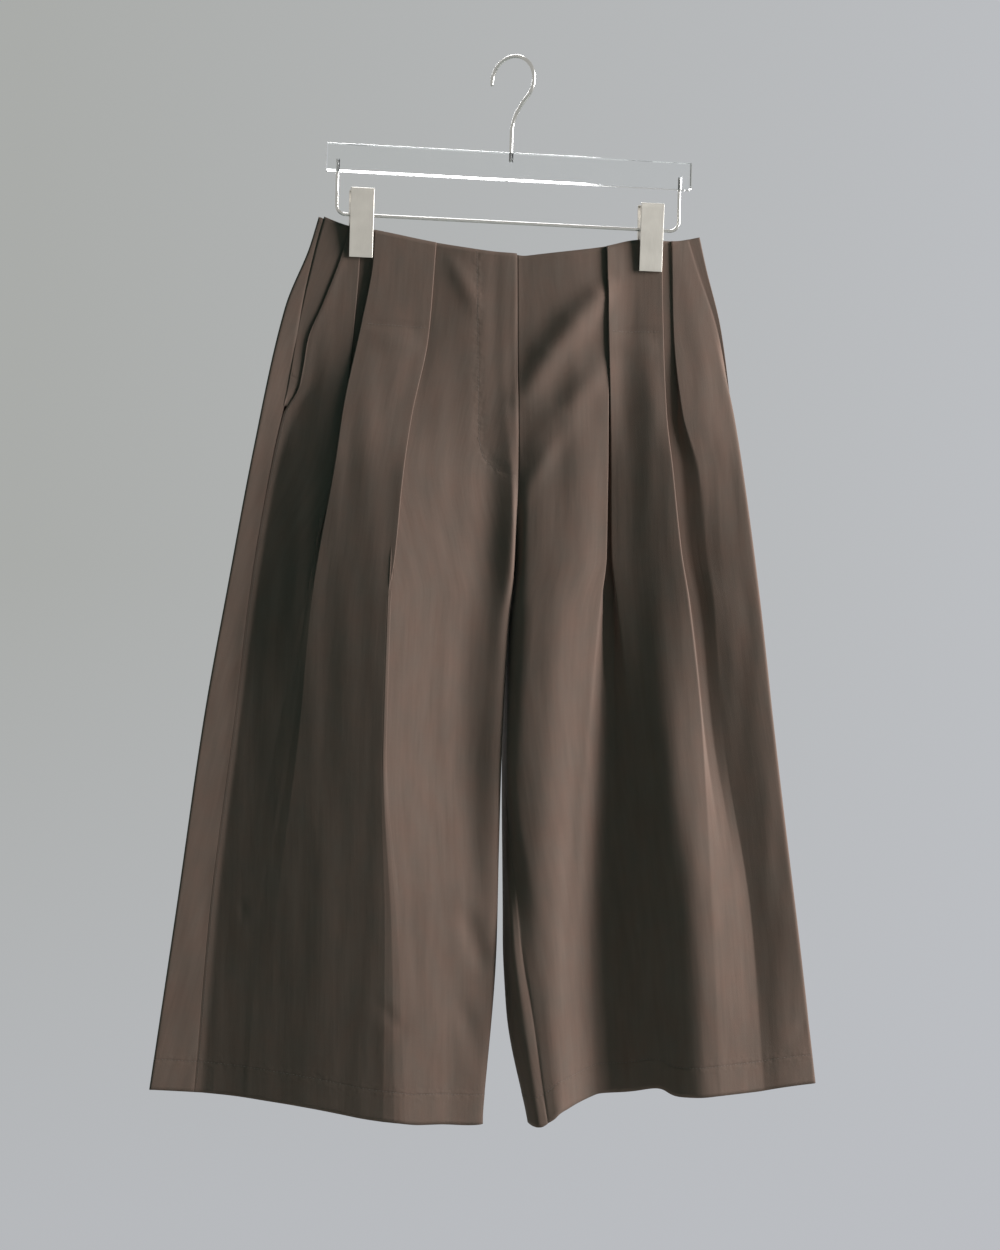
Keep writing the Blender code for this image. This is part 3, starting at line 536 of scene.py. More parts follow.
def pleat_half(edge, tuck, outward):
    """Front and back turns at a pleat's edge, then at its hidden turn, with the fold's easing.

    Closed, the cloth doubles back behind its edge; open, both turns lie on the valley's wall.
    """
    reach = (tuck[0] - edge[0]) * outward
    opened = clamp((reach - OPENING_START) / OPENING_WIDTH)
    closed_back = edge - np.array((0.0, LAYER_STEP))
    closed_turn = tuck + np.array((0.0, LAYER_STEP))
    edge_back = mix(closed_back, mix(edge, tuck, CREASE_SHARE), opened)
    turn_front = mix(closed_turn, mix(tuck, edge, CREASE_SHARE), opened)
    return edge_back, turn_front, mix(CRISP, SOFT, opened)


def corner_row(table, t):
    """The corner points of one section and how far each turn may spread."""
    corners, spreads = [], []
    for name, rows in table.items():
        if not is_pleat(rows):
            corners.append(place_at(rows, t))
            spreads.append(FIRM if name == "turn_front" else SOFT)
            continue
        edge_in, tuck_in, tuck_out, edge_out = (place_at(one, t) for one in rows)
        back_in, turn_in, ease_in = pleat_half(edge_in, tuck_in, 1)
        back_out, turn_out, ease_out = pleat_half(edge_out, tuck_out, -1)
        corners += [edge_in, back_in, turn_in, tuck_in, tuck_out, turn_out, back_out, edge_out]
        spreads += [ease_in] * PLEAT_LINES + [ease_out] * PLEAT_LINES
    return corners, spreads


def turned_sections(table, stations):
    """Every row of a panel: (rows, columns, 2) points, and how soft the fold is at each."""
    rows = [corner_row(table, t) for t in stations]
    corners = np.array([row[0] for row in rows])
    spreads = np.array([row[1] for row in rows])
    samples = []
    for entry in table.values():
        samples += PLEAT_SAMPLES if is_pleat(entry) else (TURN_SAMPLES,)
    legs = corners[:, 1:] - corners[:, :-1]
    lengths = np.linalg.norm(legs, axis=2, keepdims=True)
    ways = legs / np.maximum(lengths, 1e-6)
    first = corners[:, 0] + ways[:, 0] * SEAM_TRIM
    last = corners[:, -1] - ways[:, -1] * SEAM_TRIM
    columns, softness = [first], [np.ones(len(stations))]
    run_start = first
    for index in range(1, corners.shape[1] - 1):
        corner = corners[:, index]
        reach = np.minimum(spreads[:, index, None],
                           EASE_SHARE * np.minimum(lengths[:, index - 1], lengths[:, index]))
        start = corner - ways[:, index - 1] * reach
        end = corner + ways[:, index] * reach
        add_run(columns, softness, run_start, start, index == 1, False)
        soft = smoothstep((reach[:, 0] - CREASE_REACH) / SOFT_REACH)
        for sample in range(samples[index]):
            share = sample / (samples[index] - 1)
            rest = 1.0 - share
            near, far = (start + corner) / 2, (end + corner) / 2
            columns.append(start * rest ** 4 + near * 4 * rest ** 3 * share
                           + corner * 6 * rest ** 2 * share ** 2
                           + far * 4 * rest * share ** 3 + end * share ** 4)
            softness.append(soft)
        run_start = end
    add_run(columns, softness, run_start, last, False, True)
    columns.append(last)
    softness.append(np.ones(len(stations)))
    points = np.stack(columns, axis=1)
    soft = np.stack(softness, axis=1)
    steps = np.linalg.norm(np.diff(points, axis=1), axis=2) / CREASE_HOLD
    for column in range(1, soft.shape[1]):
        soft[:, column] = np.minimum(soft[:, column], soft[:, column - 1] + steps[:, column - 1])
    for column in range(soft.shape[1] - 2, -1, -1):
        soft[:, column] = np.minimum(soft[:, column], soft[:, column + 1] + steps[:, column])
    return points, soft


def add_run(columns, softness, start, end, leaves_seam, meets_seam):
    """Columns along a straight run, closer together beside a seam."""
    longest = np.linalg.norm(end - start, axis=1).max()
    count = int(longest // RUN_STEP)
    shares = [(step + 1) / (count + 1) for step in range(count)]
    if leaves_seam:
        shares = [*SEAM_SHARES,
        *(share for share in shares if share > SEAM_SHARES[-1] + SEAM_CLEAR)]
    if meets_seam:
        near = [1.0 - share for share in reversed(SEAM_SHARES)]
        shares = [*(share for share in shares if share < near[0] - SEAM_CLEAR), *near]
    for share in shares:
        columns.append(mix(start, end, share))
        softness.append(np.ones(len(start)))


def ease(points, soft, passes, axis):
    """Relax points along one axis of their grid where the fold is soft; the border stays."""
    points = np.moveaxis(points, axis, 0).copy()
    weight = np.moveaxis(soft, axis, 0)[1:-1, :, None] * 0.5
    for _ in range(passes):
        points[1:-1] += weight * ((points[:-2] + points[2:]) / 2 - points[1:-1])
    return np.moveaxis(points, 0, axis)


def fold_depth(x, z, fold):
    """Depth that one hand-placed fold adds at places (x, z).

    A fold is a row of (x, z, half width, height) along its crest; heights below 0 make a trough.
    """
    nearest = np.full(x.shape, np.inf)
    depth = np.zeros(x.shape)
    for (x0, z0, w0, h0), (x1, z1, w1, h1) in zip(fold, fold[1:]):
        along = np.array((x1 - x0, z1 - z0))
        length = np.hypot(*along)
        share = np.clip(((x - x0) * along[0] + (z - z0) * along[1]) / length ** 2, 0.0, 1.0)
        distance = np.hypot(x - x0 - along[0] * share, z - z0 - along[1] * share)
        width = mix(w0, w1, share)
        height = mix(h0, h1, share)
        closer = distance < nearest
        nearest = np.where(closer, distance, nearest)
        depth = np.where(closer, height * np.exp(-(distance / width) ** 2), depth)
    return depth


def ripple(x, z, height):
    """Faint uneven waves, longer down the cloth than across it."""
    depth = np.zeros(x.shape)
    for across, down, phase, share in RIPPLES:
        depth += share * np.sin(math.tau * (x / across + z / down) + phase)
    return depth * height


def steps_along(points, axis):
    """Length walked along one axis of a grid of points, from its first line."""
    walked = np.cumsum(np.linalg.norm(np.diff(points, axis=axis), axis=2), axis=axis)
    start = np.zeros_like(np.take(walked, [0], axis=axis))
    return np.concatenate((start, walked), axis=axis)


def grid_normals(points, face):
    """Unit normals of a grid, on the side that faces the viewer (-1) or away (1)."""
    across = np.gradient(points, axis=1)
    down = np.gradient(points, axis=0)
    normals = np.cross(across, down)
    normals /= np.maximum(np.linalg.norm(normals, axis=2, keepdims=True), 1e-9)
    turn = face * np.sign(normals[:, :, 1].mean())
    return normals * turn, turn


def panel_rows(piece, half):
    """Points of a front or back panel from the waist edge to the hem, and their softness."""
    side, table = half["side"], half[piece["kind"]]
    stations = np.linspace(0.0, 1.0, ROW_COUNT)
    drop = BACK_DROP if piece["kind"] == "back" else 0.0
    flat, soft = turned_sections(table, stations)
    tops = np.array([height_at(WAIST_LINE, side * x) - drop for x in flat[0, :, 0]])
    bottoms = np.array([height_at(piece["hem"], side * x) for x in flat[-1, :, 0]])
    heights = tops + (bottoms - tops) * stations[:, None]
    points = np.dstack((side * flat[:, :, 0], -flat[:, :, 1], heights))
    soft = soft * smoothstep(np.minimum(*border_steps(soft.shape)) / BORDER_HOLD)
    points = ease(points, soft, EASING_PASSES, 1)
    return ease(points, soft, FALL_PASSES, 0), soft


@lru_cache(maxsize=None)
def cloth_grid(name):
    """The middle surface of a cloth piece in metres, with its normals and its measures."""
    piece = CLOTH_PIECES[name]
    look = bpy.context.scene.shorts_cloth
    half = HALVES[piece["half"]]
    if piece["kind"] == "facing":
        points, soft = facing_rows(half)
    else:
        points, soft = panel_rows(piece, half)
    x, z = points[:, :, 0], points[:, :, 2]
    face = 1 if piece["kind"] == "back" else -1
    for fold in piece["folds"]:
        points[:, :, 1] += face * fold_depth(x, z, fold)
    held = smoothstep((CLIP_BOTTOM - CLIP_HOLD_START - z) / CLIP_HOLD_LENGTH)
    points[:, :, 1] += face * ripple(x, z, look.ripple * 1000.0) * held * soft
    points *= MM
    across = steps_along(points, 1)
    down = steps_along(points, 0)
    normals, turn = grid_normals(points, face)
    from_last = across[:, -1:] - across
    middle = across.shape[1] // 2
    grain = across - across[:, middle:middle + 1]
    hem_rise = down[-1:] - down
    if piece["kind"] != "facing":
        border = np.minimum(across, from_last)
        dip = SEAM_DIP * MM * np.exp(-(border / (SEAM_REACH * MM)) ** 2)
        points = points - normals * dip[:, :, None]
    # Distances to the fly's stitching and to its lap edge, where the cotton cuts grooves into the
    # bump and paints shade into the colour
    fly, lap = np.full(x.shape, 1.0), np.full(x.shape, 1.0)
    if name == "front_right":
        fly = line_distance(points, FLY_STITCH)
    if name == "front_left":
        lap = line_distance(points, FLY_LAP)
    return {"points": points, "normals": normals, "turn": turn, "soft": soft, "grain": grain,
            "down": down, "from_last": from_last, "hem_rise": hem_rise, "fly": fly, "lap": lap}


def border_steps(shape):
    """Steps from each place of a grid to its nearest side edge and to its top or bottom."""
    rows, columns = np.indices(shape)
    sideways = np.minimum(columns, shape[1] - 1 - columns)
    upright = np.minimum(rows, shape[0] - 1 - rows)
    return sideways.astype(float), upright.astype(float) + BORDER_HEAD


def facing_rows(half):
    """Points of a slant pocket's facing, from behind its mouth to the side seam."""
    side = half["side"]
    hem = height_at(HEM_LINE, side * place_at(half["back"]["seam"], 1.0)[0])
    rows = []
    for index in range(FACING_ROWS):
        share = index / (FACING_ROWS - 1)
        t = half["facing_end"] * share
        mouth = place_at(half["front"]["edge"], t)
        seam = place_at(half["back"]["seam"], t)
        behind = min(mouth[1], place_at(half["front"]["side"], t)[1]) - FACING_SET_BACK
        tucked = np.array((mouth[0] - mix(FACING_TUCK_TOP, FACING_TUCK, share), behind))
        under = np.array((mouth[0] - FACING_OVERLAP, min(mouth[1] - FACING_SET_BACK, seam[1])))
        end = seam - np.array((0.0, mix(*half["facing_sink"], share)))
        path = [mix(tucked, under, step / FACING_TUCK_STEPS) for step in range(FACING_TUCK_STEPS)]
        path += [mix(under, end, step / FACING_SHOWN_STEPS)
                 for step in range(FACING_SHOWN_STEPS + 1)]
        rows.append([(side * x, -depth, mix(height_at(WAIST_LINE, side * x), hem, t))
                     for x, depth in path])
    points = np.array(rows)
    soft = np.ones(points.shape[:2])
    return ease(points, soft, FACING_PASSES, 1), soft


def line_distance(points, places):
    """Signed distance in metres from a line of world (x, z) places on the front."""
    line_points = np.array(places) * MM
    x, z = points[:, :, 0], points[:, :, 2]
    nearest = np.full(x.shape, np.inf)
    signed = np.zeros(x.shape)
    for (x0, z0), (x1, z1) in zip(line_points, line_points[1:]):
        along = np.array((x1 - x0, z1 - z0))
        share = np.clip(((x - x0) * along[0] + (z - z0) * along[1]) / along.dot(along), 0.0, 1.0)
        off_x, off_z = x - x0 - along[0] * share, z - z0 - along[1] * share
        distance = np.hypot(off_x, off_z)
        sign = np.sign(along[0] * off_z - along[1] * off_x)
        closer = distance < nearest
        nearest = np.where(closer, distance, nearest)
        signed = np.where(closer, distance * sign, signed)
    return signed


def walls(grid, look, facing):
    """How far the cloth's outer and inner faces stand off its middle surface."""
    half_wall = look.wall / 2
    outer = np.full(grid["soft"].shape, half_wall)
    inner = outer.copy()
    if not facing:
        turned_up = smoothstep((look.hem_depth - grid["hem_rise"]) / TURN_SOFTNESS + 0.5)
        waist = smoothstep((look.waist_depth - grid["down"]) / TURN_SOFTNESS + 0.5)
        outer += HEM_OUTER_SHARE * look.wall * turned_up * grid["soft"]
        extra = HEM_INNER_SHARE * turned_up + WAIST_INNER_SHARE * waist
        inner += look.wall * extra * grid["soft"]
    return outer, inner


def grid_faces(numbers):
    """The four corners of every face of a grid of vertex numbers."""
    return np.stack((numbers[:-1, :-1], numbers[:-1, 1:], numbers[1:, 1:], numbers[1:, :-1]),
                    axis=2).reshape(-1, 4)


def cloth_mesh(name):
    """A closed shell around a cloth piece's middle surface, with a rounded rim."""
    look = bpy.context.scene.shorts_cloth
    grid = cloth_grid(name)
    outer, inner = walls(grid, look, CLOTH_PIECES[name]["kind"] == "facing")
    points, normals = grid["points"], grid["normals"]
    front = points + normals * outer[:, :, None]
    back = points - normals * inner[:, :, None]
    rows, columns = outer.shape
    count = rows * columns
    numbers = np.arange(count).reshape(rows, columns)
    loop = np.concatenate((numbers[0, :-1], numbers[:-1, -1],
                           numbers[-1, :0:-1], numbers[:0:-1, 0]))
    centre = (front + back) / 2
    outward = border_outward(points)
    rim = (centre.reshape(-1, 3) + outward.reshape(-1, 3) * RIM_BULGE * MM)[loop]
    corners = grid_faces(numbers)
    following = np.roll(loop, -1)
    rim_numbers = np.arange(len(loop)) + 2 * count
    rim_following = np.roll(rim_numbers, -1)
    faces = [corners, corners[:, ::-1] + count,
             np.stack((following, loop, rim_numbers, rim_following), axis=1),
             np.stack((rim_following, rim_numbers, loop + count, following + count), axis=1)]
    faces = np.concatenate(faces)
    if grid["turn"] < 0:
        faces = faces[:, ::-1]
    mesh = bpy.data.meshes.new(name + "_cloth")
    places = np.concatenate((front.reshape(-1, 3), back.reshape(-1, 3), rim))
    mesh.from_pydata(places.tolist(), [], faces.tolist())
    mesh.shade_smooth()
    grain = np.dstack((grid["grain"], -grid["down"], grid["hem_rise"])).reshape(-1, 3)
    sewing = np.dstack((grid["lap"], grid["fly"], np.zeros(outer.shape))).reshape(-1, 3)
    for label, values in (("grain", grain), ("sewing", sewing)):
        store = mesh.attributes.new(label, "FLOAT_VECTOR", "POINT")
        whole = np.concatenate((values, values, values[loop]))
        store.data.foreach_set("vector", whole.astype(np.float32).ravel())
    return mesh


def border_outward(points):
    """Unit steps out of the sheet at its border, along its own surface."""
    outward = np.zeros_like(points)
    outward[:, 0] += points[:, 0] - points[:, 1]
    outward[:, -1] += points[:, -1] - points[:, -2]
    outward[0] += points[0] - points[1]
    outward[-1] += points[-1] - points[-2]
    return outward / np.maximum(np.linalg.norm(outward, axis=2, keepdims=True), 1e-9)


def add_piece(name, mesh, material, slot, *nodes):
    """Put a piece in the scene: it rides the one body and stands for the CAD nodes named."""
    piece = bpy.data.objects.new(name, mesh)
    bpy.context.scene.collection.objects.link(piece)
    mesh.materials.append(material)
    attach(piece, "root")
    if nodes:
        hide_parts(*nodes)
    return piece


def add_cloth(name):
    """One cloth piece, in cotton."""
    piece = add_piece(name + "_cloth", cloth_mesh(name), cotton(), "taupe_cotton", name)
    return piece


def new_mesh(name, vertices, faces):
    """A smooth mesh of vertices in metres and faces."""
    mesh = bpy.data.meshes.new(name)
    mesh.from_pydata([tuple(vertex) for vertex in vertices], [], faces)
    mesh.shade_smooth()
    return mesh


def ring_faces(base, sides):
    """The faces between a ring of vertices that starts at a number and the ring after it."""
    return [(base + step, base + (step + 1) % sides,
             base + sides + (step + 1) % sides, base + sides + step) for step in range(sides)]


def tube(points, radius, sides, tapers):
    """Vertices and faces of a round tube along points, closed by rounded ends."""
    points = np.array(points, float)
    ways = np.gradient(points, axis=0)
    ways /= np.linalg.norm(ways, axis=1, keepdims=True)
    guide = np.array((0.0, 1.0, 0.0)) if abs(ways[0][1]) < 0.9 else np.array((1.0, 0.0, 0.0))
    vertices, faces = [], []
    for index, (point, way) in enumerate(zip(points, ways)):
        guide = guide - way * guide.dot(way)
        guide /= np.linalg.norm(guide)
        other = np.cross(way, guide)
        size = radius * tapers[index]
        for step in range(sides):
            angle = math.tau * step / sides
            vertices.append(point + (guide * math.cos(angle) + other * math.sin(angle)) * size)
        if index:
            faces += ring_faces((index - 1) * sides, sides)
    faces.append(tuple(reversed(range(sides))))
    base = (len(points) - 1) * sides
    faces.append(tuple(range(base, base + sides)))
    return vertices, faces


def rounded_ends(points, radius):
    """Points of a path with extra ones at both ends, and the tapers that round them off."""
    points = [np.array(point, float) for point in points]
    start_way = (points[1] - points[0]) / np.linalg.norm(points[1] - points[0])
    end_way = (points[-2] - points[-1]) / np.linalg.norm(points[-2] - points[-1])
    insets = (0.03, 0.2, 0.45, 0.8)
    tapers = [math.sqrt(1.0 - (1.0 - inset) ** 2) for inset in insets]
    head = [points[0] + start_way * radius * inset for inset in insets]
    tail = [points[-1] + end_way * radius * inset for inset in reversed(insets)]
    return head + points[1:-1] + tail, tapers + [1.0] * (len(points) - 2) + tapers[::-1]


def stitch_shape():
    """One stitch of unit length and radius: a flat thread that dips into the cloth at its ends."""
    sides = STITCH_SIDES
    vertices, faces = [], []
    for index, (along, size) in enumerate(STITCH_RINGS):
        for step in range(sides):
            angle = math.tau * step / sides
            height = math.sin(angle) * size * STITCH_FLATNESS - STITCH_DIP * along * along
            vertices.append((along, math.cos(angle) * size, height))
        if index:
            base = (index - 1) * sides
            faces += [(base + step, base + sides + step, base + sides + (step + 1) % sides,
                       base + (step + 1) % sides) for step in range(sides)]
    faces.append(tuple(range(sides)))
    base = (len(STITCH_RINGS) - 1) * sides
    faces.append(tuple(reversed(range(base, base + sides))))
    return np.array(vertices), faces


def sampled(at, measures, places):
    """The place that lies at a measure, from places and their growing measures."""
    return np.array([np.interp(at, measures, places[:, axis]) for axis in range(3)])


def walk(points, normals, pitch):
    """Evenly spaced places along a path: centre, direction and cloth normal at each."""
    lengths = np.concatenate(([0.0], np.cumsum(np.linalg.norm(np.diff(points, axis=0), axis=1))))
    places = []
    gap = pitch * STITCH_GAP
    for number in range(int(lengths[-1] // pitch)):
        start = sampled(number * pitch + gap, lengths, points)
        end = sampled((number + 1) * pitch - gap, lengths, points)
        middle = (number + 0.5) * pitch
        normal = sampled(middle, lengths, normals)
        places.append((sampled(middle, lengths, points), end - start,
                       normal / np.linalg.norm(normal)))
    return places


def outer_face(name):
    """The visible outer face of a cloth piece: its points and normals."""
    grid = cloth_grid(name)
    outer, _ = walls(grid, bpy.context.scene.shorts_cloth, False)
    return grid["points"] + grid["normals"] * outer[:, :, None], grid["normals"]


def level_path(name, rise):
    """A path across a whole panel at a height above its hem, through every fold of the cloth."""
    points, normals = outer_face(name)
    rises = cloth_grid(name)["hem_rise"]
    return tuple(np.array([sampled(rise, rises[::-1, column], values[::-1, column])
                           for column in range(points.shape[1])])
                 for values in (points, normals))


def seam_path(name, inset, start, end):
    """A path down a panel at an inset from its last border, between two shares of it."""
    points, normals = outer_face(name)
    insets = cloth_grid(name)["from_last"]
    rows = range(int(start * (ROW_COUNT - 1)), int(end * (ROW_COUNT - 1)) + 1)
    return tuple(np.array([sampled(inset, insets[row, ::-1], values[row, ::-1]) for row in rows])
                 for values in (points, normals))


def front_path(name, places):
    """A path of world (x, z) places laid onto the front of a panel's outer face."""
    points, _ = outer_face(name)
    corners = grid_faces(np.arange(points[:, :, 0].size).reshape(points.shape[:2]))
    tree = BVHTree.FromPolygons(points.reshape(-1, 3).tolist(), corners.tolist())
    picked, turned = [], []
    for start, end in zip(places, places[1:]):
        count = max(2, int(math.dist(start, end) / STITCH_PATH_STEP))
        for step in range(count):
            x, z = (mix(a, b, step / count) * MM for a, b in zip(start, end))
            hit, normal, _, _ = tree.ray_cast(Vector((x, RAY_START, z)), Vector((0.0, 1.0, 0.0)))
            if hit is None:
                continue
            picked.append(hit)
            turned.append(-normal if normal.y > 0 else normal)
    return np.array(picked), np.array(turned)


def stitches_mesh(name, paths):
    """All stitches along the given paths as one mesh."""
    look = bpy.context.scene.shorts_cloth
    shape, shape_faces = stitch_shape()
    vertices, faces = [], []
    for points, normals in paths:
        for centre, way, normal in walk(points, normals, look.stitch_pitch):
            length = np.linalg.norm(way)
            along = way / length
            across = np.cross(normal, along)
            across /= np.linalg.norm(across)
            lift = np.cross(along, across)
            base = len(vertices)
            radius = look.thread_radius
            for x, y, z in shape:
                vertices.append(centre + along * x * length + across * y * radius
                                + lift * (z * radius + STITCH_LIFT * radius))
            faces += [tuple(number + base for number in face) for face in shape_faces]
    return new_mesh(name, vertices, faces)


def hook_points():
    """The hook's centre line: a turned loop, then an S-bend down to its stem."""
    flat = []
    for step in range(HOOK_LOOP_STEPS + 1):
        angle = math.radians(mix(HOOK_LOOP_START, HOOK_LOOP_END, step / HOOK_LOOP_STEPS))
        flat.append(np.array((math.cos(angle), math.sin(angle))) * HOOK_LOOP_RADIUS)
    centre = HOOK_WIRE_RADIUS - HOOK_LOOP_RADIUS
    flat = [np.array((point[0], point[1] + centre)) for point in flat]
    loop_end = flat[-1]
    end_angle = math.radians(HOOK_LOOP_END)
    leave = np.array((math.sin(end_angle), -math.cos(end_angle)))
    reach = loop_end + leave * HOOK_LEAVE
    neck, stem = np.array((0.0, HOOK_NECK)), np.array((0.0, HOOK_STEM))
    for step in range(1, HOOK_NECK_STEPS + 1):
        share = step / HOOK_NECK_STEPS
        middle = mix(reach, neck, share)
        low, high = mix(loop_end, reach, share), mix(neck, stem, share)
        flat.append(mix(mix(low, middle, share), mix(middle, high, share), share))
    flat += [np.array((0.0, level)) for level in HOOK_STEM_LEVELS]
    across = np.array((math.cos(HOOK_TURN), -math.sin(HOOK_TURN), 0.0))
    return [across * point[0] + np.array((0.0, 0.0, point[1])) for point in flat]


def clip_wire_points():
    """The lower wire: up into the bar at both ends, with a round bend at each corner."""
    half = WIRE_SPAN / 2
    left = [np.array((-half, 0.0, level)) for level in WIRE_END_LEVELS]
    for step in range(WIRE_BEND_STEPS + 1):
        angle = math.radians(180 + 90 * step / WIRE_BEND_STEPS)
        left.append(np.array((-half + WIRE_BEND + WIRE_BEND * math.cos(angle), 0.0,
                              WIRE_LEVEL + WIRE_BEND + WIRE_BEND * math.sin(angle))))
    right = [point * np.array((-1.0, 1.0, 1.0)) for point in reversed(left)]
    return left + right


def wire_mesh(name, points, radius, sides=16):
    """A round wire with rounded ends, along points in millimetres."""
    path, tapers = rounded_ends(points, radius)
    vertices, faces = tube(path, radius, sides, tapers)
    return new_mesh(name, np.array(vertices) * MM, faces)


def jaw_profile(face):
    """Side view of a clip's jaw from its gripping end up to its rolled top: (depth, height)."""
    look = bpy.context.scene.shorts_hanger
    cloth = CLOTH_FRONT_AT_CLIP if face > 0 else -CLOTH_BACK_AT_CLIP
    base = cloth + CLIP_CLEARANCE + CLIP_PLATE / 2
    lip = look.lip_turn * 1000.0
    line_points = [(base - lip * CLIP_LIP_SHARE, CLIP_BOTTOM),
                   (base, CLIP_BOTTOM + CLIP_LIP_HEIGHT)]
    length = CLIP_TOP - CLIP_BOTTOM
    for step in range(1, CLIP_PLATE_STEPS):
        share = step / CLIP_PLATE_STEPS
        line_points.append((base + CLIP_LEAN * share, CLIP_BOTTOM + length * share))
    top = base + CLIP_LEAN
    roll = look.roll_radius * 1000.0
    for step in range(CLIP_ROLL_STEPS + 1):
        angle = math.radians(90 * step / CLIP_ROLL_STEPS)
        line_points.append((top - roll + roll * math.cos(angle),
                            CLIP_TOP - roll - CLIP_PLATE / 2 + roll * math.sin(angle)))
    line_points.append((top - roll - CLIP_ROLL_END, CLIP_TOP - CLIP_PLATE / 2))
    return [np.array(point) for point in line_points]


def jaw_mesh(name, x, face):
    """One stamped jaw: a plate along its profile with folded side flanges around the wire."""
    profile = jaw_profile(face)
    half = CLIP_WIDTH / 2
    thick = CLIP_PLATE / 2
    vertices, faces = [], []
    inset = half - CLIP_EDGE_ROUND
    ring = [(across, depth * thick) for across, depth in (
        (-inset, 1), (inset, 1), (half, 0.4), (half, -0.4),
        (inset, -1), (-inset, -1), (-half, -0.4), (-half, 0.4))]
    for index, point in enumerate(profile):
        before, after = profile[max(index - 1, 0)], profile[min(index + 1, len(profile) - 1)]
        way = (after - before) / np.linalg.norm(after - before)
        outward = np.array((way[1], -way[0]))
        for across, offset in ring:
            depth, height = point + outward * offset
            vertices.append((x + across, -face * depth, height))
        if index:
            faces += ring_faces((index - 1) * len(ring), len(ring))
    faces.append(tuple(reversed(range(len(ring)))))
    base = (len(profile) - 1) * len(ring)
    faces.append(tuple(range(base, base + len(ring))))
    for end in (-1, 1):
        flange(vertices, faces, x + end * (half - EAR_HALF), face, profile)
    mesh = new_mesh(name, np.array(vertices) * MM, faces)
    turn_outward(mesh)
    return mesh


def flange(vertices, faces, x, face, profile):
    """A folded ear on a jaw's side, deepest where it holds the wire."""
    heights = np.linspace(*EAR_LEVELS, EAR_STEPS)
    plate_path = np.array(profile[:CLIP_PLATE_STEPS + 1])
    base = len(vertices)
    for height in heights:
        plate = np.interp(height, plate_path[:, 1], plate_path[:, 0])
        reach = EAR_REACH + EAR_BULGE * math.exp(-((height - WIRE_LEVEL) / EAR_SPAN) ** 4)
        for across, depth in ((-EAR_HALF, plate), (EAR_HALF, plate),
                              (EAR_HALF, plate - reach), (-EAR_HALF, plate - reach)):
            vertices.append((x + across, -face * depth, height))
    for index in range(len(heights) - 1):
        faces += ring_faces(base + index * 4, 4)
    faces.append((base + 3, base + 2, base + 1, base))
    last = base + (len(heights) - 1) * 4
    faces.append((last, last + 1, last + 2, last + 3))


def turn_outward(mesh):
    """Turn every face outward and keep flat faces flat."""
    solid = bmesh.new()
    solid.from_mesh(mesh)
    bmesh.ops.recalc_face_normals(solid, faces=solid.faces)
    solid.to_mesh(mesh)
    solid.free()
    mesh.shade_smooth()
    mesh.set_sharp_from_angle(angle=SHARP_ANGLE)


def spring_mesh(name, x):
    """The clip's coiled spring around the wire, its two legs pressing the jaws."""
    look = bpy.context.scene.shorts_hanger
    gauge = look.spring_wire * 1000.0 / 2
    radius = WIRE_RADIUS + SPRING_CLEARANCE + gauge
    points = []
    count = SPRING_TURNS * SPRING_STEPS
    for step in range(count + 1):
        share = step / count
        angle = math.tau * SPRING_TURNS * share + math.radians(90)
        points.append((x + SPRING_SPAN * (share - 0.5), radius * math.cos(angle),
                       WIRE_LEVEL + radius * math.sin(angle)))
    first, last = points[0], points[-1]
    head = [(first[0], first[1] + leg, first[2] - SPRING_LEG_DROP * leg)
            for leg in reversed(SPRING_LEG)]
    tail = [(last[0], last[1] - leg, last[2] - SPRING_LEG_DROP * leg) for leg in SPRING_LEG]
    return wire_mesh(name, head + points + tail, gauge, 8)


class Shade:
    """A socket of some nodes, with the operators that build shader maths."""

    def __init__(self, nodes, socket):
        self.nodes = nodes
        self.socket = socket

    def maths(self, operation, *others):
        """A Math node of this value and others."""
        node = self.nodes.node("ShaderNodeMath", {"operation": operation},
                               dict(enumerate((self, *others))))
        return Shade(self.nodes, node.outputs[0])

    def __add__(self, other):
        return self.maths("ADD", other)

    def __radd__(self, other):
        return self.maths("ADD", other)

    def __sub__(self, other):
        return self.maths("SUBTRACT", other)

    def __rsub__(self, other):
        return self.nodes.value(other).maths("SUBTRACT", self)

    def __mul__(self, other):
        return self.maths("MULTIPLY", other)

    def __rmul__(self, other):
        return self.maths("MULTIPLY", other)

    def __neg__(self):
        return self.maths("MULTIPLY", -1.0)

    def bell(self, width):
        """1 where this value is 0, falling to 0 over about a width to both sides."""
        scaled = self * (1.0 / width)
        return (-(scaled * scaled)).maths("EXPONENT")

    def wave(self, pitch):
        """A sine of this value with the given pitch."""
        return (self * (math.tau / pitch)).maths("SINE")

    def held(self, low, high):
        """This value, kept between two others."""
        return self.maths("MAXIMUM", low).maths("MINIMUM", high)

    def grown(self, start, end, most):
        """A share that grows from 0 to its most while this value goes from start to end."""
        node = self.nodes.node("ShaderNodeMapRange", sockets={
            "Value": self, "From Min": start, "From Max": end, "To Min": 0.0, "To Max": most})
        return Shade(self.nodes, node.outputs[0])


